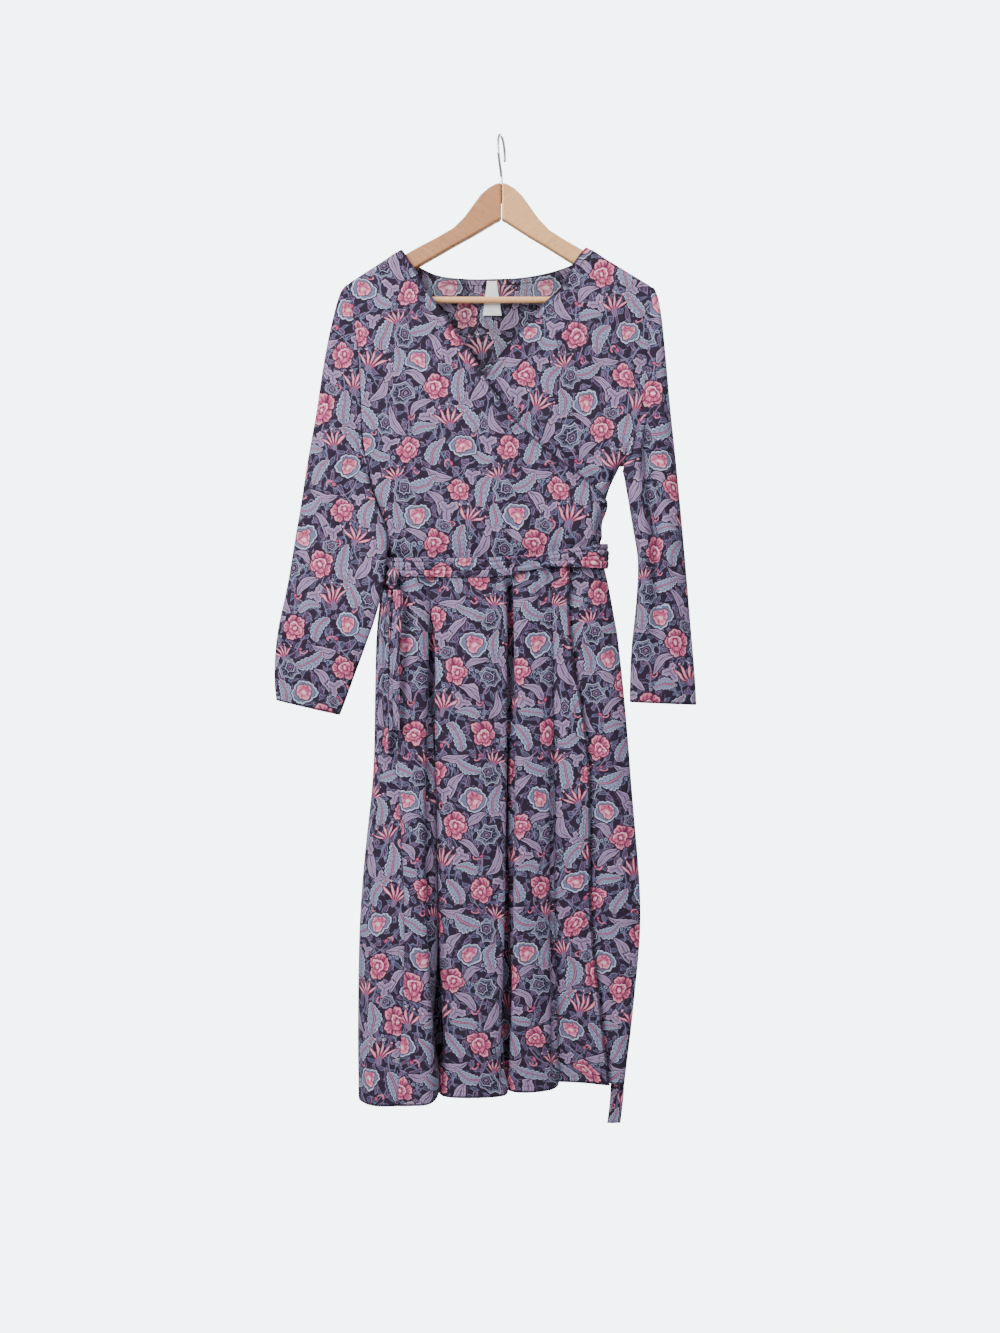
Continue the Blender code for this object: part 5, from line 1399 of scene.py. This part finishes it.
def belt_piece(name, mats, place):
    count = len(BELT)
    loop = np.array([BELT[(i - 1) % count][1:] for i in range(count + 3)])
    where = 1.0 + np.linspace(0, count, count * 18 + 1)
    line = spline(loop, where)                              # x, y, top, bottom
    levels = np.linspace(0, 1, 37)
    run = measured(line[:, :2])
    front = smooth(-line[:, 1] / 14.0)
    top = line[:, 2] + 0.7 * wander(run, 51, 24.0)
    foot = line[:, 3] + 0.7 * wander(run, 52, 28.0)
    grid = np.stack([np.stack([line[:, 0], line[:, 1], lerp(top, foot, t)], -1) for t in levels])
    n = outward(grid, "row", wrap=True)
    along = np.repeat(run[None], len(levels), axis=0)
    level = np.repeat(levels[:, None], len(run), axis=1)
    h = 1.2 * np.sin(math.pi * level)
    # long creases where the strip is crushed, drifting across it
    for height, spot, drift, wide, seed in ((-3.8, 0.24, 0.035, 0.055, 53), (1.3, 0.36, 0.03, 0.09, 54),
                                            (-3.6, 0.66, 0.045, 0.050, 55), (1.2, 0.80, 0.04, 0.09, 56),
                                            (-1.0, 0.50, 0.06, 0.04, 57)):
        centre = spot + drift * wander(run, seed, 60.0)
        h += height * np.exp(-((level - centre[None]) / wide) ** 2) * (0.45 + 0.55 * front[None]) \
            * (0.75 + 0.35 * wander(run, seed + 7, 35.0)[None])
    h += 0.45 * wander(run, 58, 9.0)[None] * np.sin(math.pi * level)
    cross = np.exp(-((line[:, 0] - 12.0 - 0) / 3.2) ** 2) * front
    h -= 2.4 * cross[None]
    h += 1.3 * np.exp(-((line[:, 0] - 20.0) / 5.0) ** 2)[None] * front[None]
    h[:, -1] = h[:, 0]
    grid = grid + n * (h[..., None] + 0.15)
    grid[:, -1] = grid[:, 0]
    v = level * 32.0
    uv = np.stack([place[0] + v, place[1] + along], -1)
    edge = np.stack([along, np.full(along.shape, 500.0)], -1)
    return sheet(name, grid, n, mats[:1], uv, edge, wall=1.5, closed=True)


def knot_piece(name, mats, place):
    """Tied knot: two passes of the strip drawn tight over each other."""
    rows, cols = 60, 73
    a = np.linspace(0, 2 * math.pi, cols)[None, :].repeat(rows, 0)
    b = np.linspace(0.02, math.pi - 0.02, rows)[:, None].repeat(cols, 1)
    x, y, z = np.sin(b) * np.cos(a), np.sin(b) * np.sin(a), np.cos(b)
    waist = 1.0 - 0.30 * np.exp(-((z + 0.12 + 0.25 * x) / 0.20) ** 2)
    ridge = 1.0 + 0.055 * np.cos(9.0 * a + 5.0 * z) * np.sin(b) + 0.06 * np.cos(7.0 * z + 3.0 * np.cos(a))
    grid = np.stack([KNOT_CENTRE[0] + KNOT_HALF[0] * x * waist * ridge,
                     KNOT_CENTRE[1] + KNOT_HALF[1] * y * waist * ridge,
                     KNOT_CENTRE[2] + KNOT_HALF[2] * z * (1.0 + 0.03 * np.cos(3 * a))], -1)
    grid[:, -1] = grid[:, 0]
    n = outward(grid, "row", wrap=True)
    uv = np.stack([place[0] + a * 8.0, place[1] + b * 14.0], -1)
    obj = sheet(name, grid, n, mats[:1], uv, None, closed=True)
    obj.modifiers.clear()
    bm = bmesh.new()
    bm.from_mesh(obj.data)
    open_edges = [e for e in bm.edges if e.is_boundary]
    bmesh.ops.holes_fill(bm, edges=open_edges)
    bm.to_mesh(obj.data)
    bm.free()
    return obj


def tail_piece(name, rows, fold, mats, place, seed):
    """Hanging end of the belt: a doubled strip with its sides sewn."""
    where = np.linspace(0, len(rows) - 1, 96)
    line = spline(np.array(rows, float), where)             # x, y, z, width
    run = measured(line[:, :3])
    across = np.linspace(-0.5, 0.5, 19)
    s = across[None, :].repeat(len(run), 0)
    width = line[:, 3][:, None]
    x = line[:, 0][:, None] + s * width + 0.5 * wander(run, seed, 40.0)[:, None]
    dip = -fold * np.exp(-((s + 0.18) / 0.14) ** 2) + fold * 0.4 * np.exp(-((s - 0.2) / 0.16) ** 2)
    dip = dip * (0.8 + 0.35 * wander(run, seed + 1, 60.0)[:, None])
    y = line[:, 1][:, None] + dip
    z = line[:, 2][:, None].repeat(19, 1)
    grid = np.stack([x, y, z], -1)
    n = outward(grid, (0.0, 400.0))
    h = 0.35 * crumple(s * 14.0, run[:, None].repeat(19, 1), seed + 2, 12.0, 70.0)
    puff = 0.35 * (1 - (2 * s) ** 4)
    grid = grid + n * (h + puff)[..., None]
    uv = np.stack([place[0] + s * 30.0, place[1] - run[:, None].repeat(19, 1)], -1)
    edge = np.stack([run[:, None].repeat(19, 1), (run[-1] - run)[:, None].repeat(19, 1) + 6.0], -1)
    return sheet(name, grid, n, mats[:1], uv, edge, wall=1.4)


def label_piece(name, mats):
    (x0, x1, z0), (x2, x3, z1) = LABEL_TOP, LABEL_FOOT
    t = np.linspace(0, 1, 34)[:, None].repeat(15, 1)
    s = np.linspace(0, 1, 15)[None, :].repeat(34, 0)
    x = lerp(lerp(x0, x2, t), lerp(x1, x3, t), s)
    y = LABEL_Y - 0.5 * np.sin(math.pi * t) - 0.25 * np.sin(math.pi * s) * t + 0.15 * np.sin(9 * t + 3 * s)
    z = lerp(z0, z1, t) + 0.3 * np.sin(3.0 * s)
    grid = np.stack([x, y, z], -1)
    n = outward(grid, (0.0, 400.0))
    uv = np.stack([s * 27.0, -t * 48.0], -1)
    return sheet(name, grid, n, mats, uv, None, wall=0.6)


# Creases, each drawn through points of the frame: path, height (troughs are
# negative), half width, and how soon it fades in and out.
BODICE_CREASES = {
    "over": [
        ([(452, 340), (478, 378), (505, 420), (540, 452), (575, 486)], 1.6, 5.0, 0.3, 0.3),
        ([(440, 352), (470, 402), (500, 444), (540, 474)], -1.2, 7.0, 0.3, 0.4),
        ([(524, 436), (548, 452), (574, 478), (598, 500)], -1.8, 5.0, 0.3, 0.3),
        ([(516, 448), (545, 476), (572, 504), (592, 528)], 1.4, 6.0, 0.3, 0.4),
        ([(500, 462), (524, 492), (548, 520)], -1.3, 7.0, 0.4, 0.4),
        ([(514, 506), (511, 532), (510, 562)], -3.0, 4.5, 0.4, 0.05),
        ([(526, 500), (525, 530), (523, 560)], 1.5, 5.5, 0.4, 0.05),
        ([(497, 514), (496, 540), (496, 562)], 1.3, 6.0, 0.5, 0.05),
        ([(548, 530), (553, 545), (556, 560)], -1.5, 4.5, 0.4, 0.05),
        ([(470, 526), (468, 545), (466, 562)], -1.2, 5.0, 0.4, 0.05),
        ([(440, 520), (436, 542), (434, 562)], 1.2, 6.0, 0.4, 0.05),
        ([(410, 512), (404, 538), (402, 562)], -1.3, 5.0, 0.4, 0.05),
        ([(385, 470), (390, 505), (396, 545)], 1.1, 7.0, 0.4, 0.1),
        ([(372, 300), (374, 345), (372, 392)], 1.3, 8.0, 0.35, 0.35),
        ([(357, 306), (360, 345), (359, 392)], -3.6, 3.2, 0.2, 0.3),
        ([(366, 312), (369, 350), (368, 385)], 1.4, 4.0, 0.25, 0.35),
        ([(378, 436), (402, 458), (430, 470)], -1.0, 8.0, 0.3, 0.5),
        ([(402, 300), (414, 350), (438, 402)], -0.9, 12.0, 0.4, 0.4),
        ([(572, 512), (585, 520), (600, 530)], -1.2, 4.0, 0.3, 0.3),
        ([(566, 538), (582, 546), (598, 552)], -1.0, 4.0, 0.4, 0.2),
    ],
    "under": [
        ([(480, 352), (500, 385), (524, 418), (546, 437), (569, 456), (593, 476), (606, 487)], -4.8, 4.6, 0.06, 0.10),
        ([(568, 300), (560, 340), (548, 392)], 1.1, 9.0, 0.4, 0.4),
        ([(606, 330), (596, 386), (572, 440)], -1.2, 9.0, 0.4, 0.3),
        ([(630, 330), (626, 380), (618, 430)], 1.2, 7.0, 0.4, 0.4),
        ([(612, 440), (596, 456), (580, 470)], -1.3, 5.0, 0.2, 0.3),
        ([(616, 425), (596, 438), (574, 448)], 1.0, 6.0, 0.2, 0.4),
        ([(512, 330), (520, 366), (534, 400)], -1.0, 8.0, 0.4, 0.3),
    ],
    "back": [
        ([(-150.0, -250.0), (-120.0, -330.0), (-96.0, -420.0)], -1.4, 14.0, 0.4, 0.4),
        ([(150.0, -250.0), (118.0, -340.0), (92.0, -430.0)], -1.3, 15.0, 0.4, 0.4),
        ([(-176.0, -430.0), (-120.0, -470.0), (-70.0, -480.0)], 1.3, 12.0, 0.2, 0.5),
        ([(166.0, -430.0), (112.0, -476.0), (60.0, -488.0)], 1.3, 12.0, 0.2, 0.5),
        ([(-60.0, -480.0), (-64.0, -530.0), (-66.0, -598.0)], -1.6, 7.0, 0.4, 0.05),
        ([(-20.0, -470.0), (-16.0, -530.0), (-14.0, -596.0)], 1.4, 8.0, 0.4, 0.05),
        ([(38.0, -490.0), (36.0, -540.0), (34.0, -594.0)], -1.5, 7.0, 0.4, 0.05),
        ([(84.0, -500.0), (86.0, -545.0), (88.0, -592.0)], 1.3, 7.0, 0.4, 0.05),
        ([(-116.0, -500.0), (-112.0, -545.0), (-110.0, -600.0)], 1.3, 7.0, 0.4, 0.05),
    ],
}
# The inner fold of each sleeve lies against the bodice below the armhole.
LEFT_LEAN = ((-440.0, 0.0, 0.0), (-462.0, 3.0, -4.0), (-477.0, 6.2, -7.0), (-491.0, 8.0, -7.0), (-505.0, 9.6, -7.0),
             (-519.0, 8.8, -4.0), (-533.0, 8.8, 0.0), (-547.0, 8.2, 0.0), (-561.0, 6.6, 0.0), (-575.0, 4.2, 0.0),
             (-589.0, 2.0, 0.0), (-606.0, 0.0, 0.0))
RIGHT_LEAN = ((-395.0, 0.0, 0.0), (-410.0, -2.4, 0.0), (-448.0, -3.2, 0.0), (-456.0, -8.0, 0.0), (-463.0, -9.6, 0.0),
              (-470.0, -6.6, 0.0), (-477.0, -4.0, 0.0), (-491.0, -1.6, 0.0), (-510.0, 0.0, 0.0))
OVER_LEAN = ((-488.0, 0.0, 0.0), (-505.0, -2.2, 0.0), (-519.0, -5.2, 0.0), (-533.0, -6.8, 0.0), (-561.0, -5.6, 0.0),
             (-580.0, -2.5, 0.0), (-596.0, 0.0, 0.0))
SLEEVE_LEFT_CREASES = [
    ([(0.62, 0.02), (0.55, 0.14), (0.50, 0.26)], -1.6, 9.0, 0.3, 0.4),
    ([(0.90, 0.26), (0.70, 0.33), (0.45, 0.36)], -2.0, 8.0, 0.2, 0.4),
    ([(0.92, 0.31), (0.70, 0.39), (0.48, 0.43)], 1.5, 9.0, 0.2, 0.4),
    ([(0.95, 0.37), (0.72, 0.46), (0.50, 0.52)], -1.6, 8.0, 0.2, 0.4),
    ([(0.30, 0.30), (0.36, 0.45), (0.34, 0.62)], 1.2, 12.0, 0.4, 0.4),
    ([(0.62, 0.52), (0.58, 0.68), (0.62, 0.86)], -1.4, 9.0, 0.4, 0.4),
    ([(0.28, 0.66), (0.30, 0.80), (0.26, 0.94)], -1.0, 10.0, 0.4, 0.4),
    ([(1.30, 0.20), (1.40, 0.40), (1.35, 0.60)], -1.5, 10.0, 0.4, 0.4),
    ([(1.62, 0.45), (1.55, 0.65), (1.60, 0.85)], -1.3, 10.0, 0.4, 0.4),
]
SLEEVE_RIGHT_CREASES = [
    ([(0.60, 0.06), (0.59, 0.20), (0.56, 0.34), (0.57, 0.48)], -5.0, 5.0, 0.15, 0.4),
    ([(0.72, 0.10), (0.70, 0.24), (0.68, 0.40)], 2.2, 7.0, 0.2, 0.4),
    ([(0.46, 0.08), (0.46, 0.24), (0.45, 0.40)], 1.6, 8.0, 0.2, 0.4),
    ([(0.30, 0.10), (0.26, 0.24), (0.30, 0.40)], 1.2, 12.0, 0.4, 0.4),
    ([(0.92, 0.30), (0.80, 0.40), (0.78, 0.52)], -1.6, 7.0, 0.3, 0.4),
    ([(0.35, 0.50), (0.38, 0.64), (0.34, 0.80)], -1.1, 11.0, 0.4, 0.4),
    ([(0.72, 0.62), (0.66, 0.76), (0.70, 0.92)], 1.2, 9.0, 0.4, 0.4),
    ([(1.35, 0.25), (1.45, 0.45), (1.38, 0.65)], -1.6, 10.0, 0.4, 0.4),
    ([(1.62, 0.15), (1.58, 0.35), (1.64, 0.55)], 1.3, 10.0, 0.4, 0.4),
]
# Fold, share of the way each lip is drawn in, and how far out the lips lie at
# the waist and at the hem.
PINCHES = {"over_edge": (("valley_1", 0.76, 11.0, 19.0), ("valley_2", 0.80, 11.5, 16.0), ("valley_3", 0.66, 8.5, 11.0)),
           "seam_left": (("back_v1", 0.62, 11.0, 15.0), ("back_v2", 0.66, 11.0, 16.0), ("back_v3", 0.66, 11.0, 15.0),
                         ("back_v4", 0.52, 10.0, 13.0)),
           "seam_right": ()}
SKIRT_CREASES = {
    "over": [
        ([(432, 596), (431, 720), (430, 860), (436, 990), (443, 1076)], -8.5, 4.6, 0.08, 0.05),
        ([(510, 579), (511, 700), (510, 860), (507, 990), (503, 1088)], -9.5, 5.0, 0.02, 0.03),
        ([(551, 690), (553, 860), (555, 1080)], -6.0, 4.2, 0.4, 0.05),
        ([(391, 592), (390, 640), (393, 700), (395, 780)], -5.0, 3.6, 0.1, 0.5),
        ([(404, 586), (406, 640), (402, 712)], -2.0, 4.5, 0.1, 0.6),
        ([(416, 584), (418, 630), (420, 700)], 1.4, 5.0, 0.1, 0.6),
        ([(452, 586), (450, 640), (447, 730)], -1.5, 5.5, 0.1, 0.7),
        ([(474, 584), (476, 640), (478, 760)], 1.3, 7.0, 0.1, 0.7),
        ([(494, 584), (496, 650), (498, 780)], -1.2, 5.0, 0.1, 0.7),
        ([(526, 584), (527, 640), (524, 740)], 1.3, 6.0, 0.1, 0.7),
        ([(540, 582), (543, 640), (545, 720)], -1.6, 5.0, 0.1, 0.7),
        ([(420, 860), (416, 960), (412, 1080)], 1.3, 8.0, 0.5, 0.2),
        ([(470, 800), (473, 940), (470, 1085)], -1.3, 9.0, 0.5, 0.1),
        ([(490, 880), (491, 980), (490, 1080)], 1.2, 7.0, 0.5, 0.1),
        ([(530, 830), (531, 960), (533, 1080)], -1.2, 8.0, 0.5, 0.1),
        ([(382, 930), (380, 1010), (378, 1095)], 1.2, 8.0, 0.4, 0.1),
    ],
    "under": [
        ([(510, 570), (511, 700), (510, 860), (507, 990), (503, 1100)], -7.0, 12.0, 0.01, 0.01),
        ([(432, 570), (431, 720), (430, 860), (436, 990), (443, 1100)], -6.0, 12.0, 0.01, 0.01),
        ([(551, 660), (553, 860), (555, 1100)], -4.0, 10.0, 0.4, 0.01),
        ([(590, 590), (596, 660), (606, 740)], -1.8, 6.0, 0.1, 0.6),
        ([(600, 760), (608, 860), (612, 960)], 1.3, 7.0, 0.4, 0.4),
        ([(618, 820), (620, 920), (616, 1030)], -1.4, 6.0, 0.4, 0.3),
        ([(600, 960), (598, 1020), (592, 1075)], -1.3, 7.0, 0.4, 0.1),
    ],
    "back": [],
}


# ------------------------------------------------------------------ the dress
cloth = cloth_material("printed_jersey")
wrong = wrong_side(cloth, "printed_jersey_wrong_side")
both = [cloth, wrong]

pieces = {}


def keep(obj, node):
    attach(obj, "root")
    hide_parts(node)
    pieces[node] = obj


keep(bodice_piece("cloth_front_over", "over", both, (20.0, 30.0)), "bodice_front_over")
keep(bodice_piece("cloth_front_under", "under", both, (66.0, 88.0)), "bodice_front_under")
keep(bodice_piece("cloth_back", "back", both, (118.0, 140.0)), "bodice_back")
keep(sleeve_piece("cloth_sleeve_left", SLEEVE_LEFT, "left", "over", -1.0, both, (41.0, 60.0),
                  SLEEVE_LEFT_CREASES, LEFT_LEAN),
     "sleeve_left")
keep(sleeve_piece("cloth_sleeve_right", SLEEVE_RIGHT, "right", "under", 1.0, both, (99.0, 170.0),
                  SLEEVE_RIGHT_CREASES, RIGHT_LEAN),
     "sleeve_right")
keep(skirt_piece("cloth_skirt_under", "free_edge", "seam_right", (-40.0, 60.0), both, (30.0, 12.0), 61,
                 ("right",), "left", SKIRT_CREASES["under"]), "skirt_front_under")
keep(skirt_piece("cloth_skirt_back", "seam_right", "seam_left", (0.0, -20.0), both, (90.0, 40.0), 71,
                 ("left", "right"), None, SKIRT_CREASES["back"]), "skirt_back")
keep(skirt_piece("cloth_skirt_over", "seam_left", "over_edge", (0.0, 400.0), both, (120.0, 208.0), 81,
                 ("left",), "right", SKIRT_CREASES["over"]), "skirt_front_over")
keep(belt_piece("cloth_belt", both, (40.0, 50.0)), "belt_band")
keep(knot_piece("cloth_knot", both, (70.0, 140.0)), "belt_knot")
keep(tail_piece("cloth_tail_long", TAIL_LONG, 1.4, both, (15.0, 20.0), 91), "belt_tail_long")
keep(tail_piece("cloth_tail_short", TAIL_SHORT, -1.2, both, (70.0, 120.0), 92), "belt_tail_short")
keep(tail_piece("cloth_tail_back", TAIL_BACK, 0.8, both, (100.0, 60.0), 93), "belt_tail_back")
keep(label_piece("tape_label", [tape_material()]), "neck_label")

# ------------------------------------------------------------------ the hanger
tan = wood_material("beech_darker", (0.520, 0.225, 0.085), (0.340, 0.125, 0.040), 1, 0.44)
fair = wood_material("beech_lighter", (0.800, 0.430, 0.190), (0.560, 0.260, 0.095), 2, 0.42)
rail = wood_material("beech_rail", (0.900, 0.500, 0.235), (0.640, 0.310, 0.120), 4, 0.40)
wire = steel_material()
for node, mat in (("hanger_arm_left", tan), ("hanger_arm_right", fair), ("hanger_bar", rail), ("hanger_hook", wire)):
    obj = bpy.data.objects.get(node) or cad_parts[node]
    for slot in obj.material_slots:
        slot.material = mat

# ------------------------------------------------------------------ setting
def plane(name, corners, mat):
    mesh = bpy.data.meshes.new(name)
    mesh.from_pydata(corners, [], [tuple(range(len(corners)))])
    mesh.materials.append(mat)
    obj = bpy.data.objects.new(name, mesh)
    bpy.context.scene.collection.objects.link(obj)
    return obj


ground = plain_material("pale_floor", (0.93, 0.935, 0.94), (0.90, 0.905, 0.91), 3.0)
ring = [(2.0 * math.cos(i * math.pi / 32), 2.0 * math.sin(i * math.pi / 32), -3.2) for i in range(64)]
plane("floor", ring, ground)


def area_light(name, place, aim, size, watts, colour):
    data = bpy.data.lights.new(name, "AREA")
    data.shape = "RECTANGLE"
    data.size, data.size_y = size
    data.energy = watts
    data.color = colour
    obj = bpy.data.objects.new(name, data)
    obj.location = place
    obj.rotation_euler = (Vector(aim) - Vector(place)).to_track_quat("-Z", "Y").to_euler()
    obj.visible_camera = False
    bpy.context.scene.collection.objects.link(obj)
    return obj


area_light("window", (-1.5, -2.1, 0.5), (0.0, 0.0, -0.7), (1.6, 1.8), LIGHT_WINDOW, (0.97, 0.98, 1.0))
area_light("fill", (1.9, -2.3, -0.4), (0.0, 0.0, -0.8), (2.0, 2.0), LIGHT_FILL, (1.0, 0.99, 0.98))
area_light("top", (0.1, -0.9, 1.5), (0.0, 0.05, -0.5), (1.8, 1.2), LIGHT_TOP, (1.0, 1.0, 1.0))
area_light("rear", (0.9, 2.4, 0.5), (0.0, 0.0, -0.7), (1.8, 1.8), LIGHT_REAR, (0.98, 0.99, 1.0))

# the room's soft light, and behind everything a plain pale backdrop
world = bpy.data.worlds.new("room")
world.use_nodes = True
tree = world.node_tree
room = tree.nodes["Background"]
room.inputs[0].default_value = (0.92, 0.95, 1.0, 1.0)
room.inputs[1].default_value = LIGHT_ROOM
wall = tree.nodes.new("ShaderNodeBackground")
wall.inputs[0].default_value = (0.90, 0.955, 1.0, 1.0)
wall.inputs[1].default_value = LIGHT_WALL
path = tree.nodes.new("ShaderNodeLightPath")
either = tree.nodes.new("ShaderNodeMixShader")
tree.links.new(path.outputs["Is Camera Ray"], either.inputs[0])
tree.links.new(room.outputs[0], either.inputs[1])
tree.links.new(wall.outputs[0], either.inputs[2])
tree.links.new(either.outputs[0], tree.nodes["World Output"].inputs[0])
bpy.context.scene.world = world

eye = bpy.data.cameras.new("photo_view")
eye.sensor_fit = "HORIZONTAL"
eye.sensor_width = 36.0
eye.lens = 39.6
camera = bpy.data.objects.new("photo_view", eye)
camera.location = (-0.00213, -1.56, -0.69257)
camera.rotation_euler = (math.radians(90.0 - 1.7444), 0.0, 0.0)
bpy.context.scene.collection.objects.link(camera)
bpy.context.scene.camera = camera

bpy.context.view_layer.update()
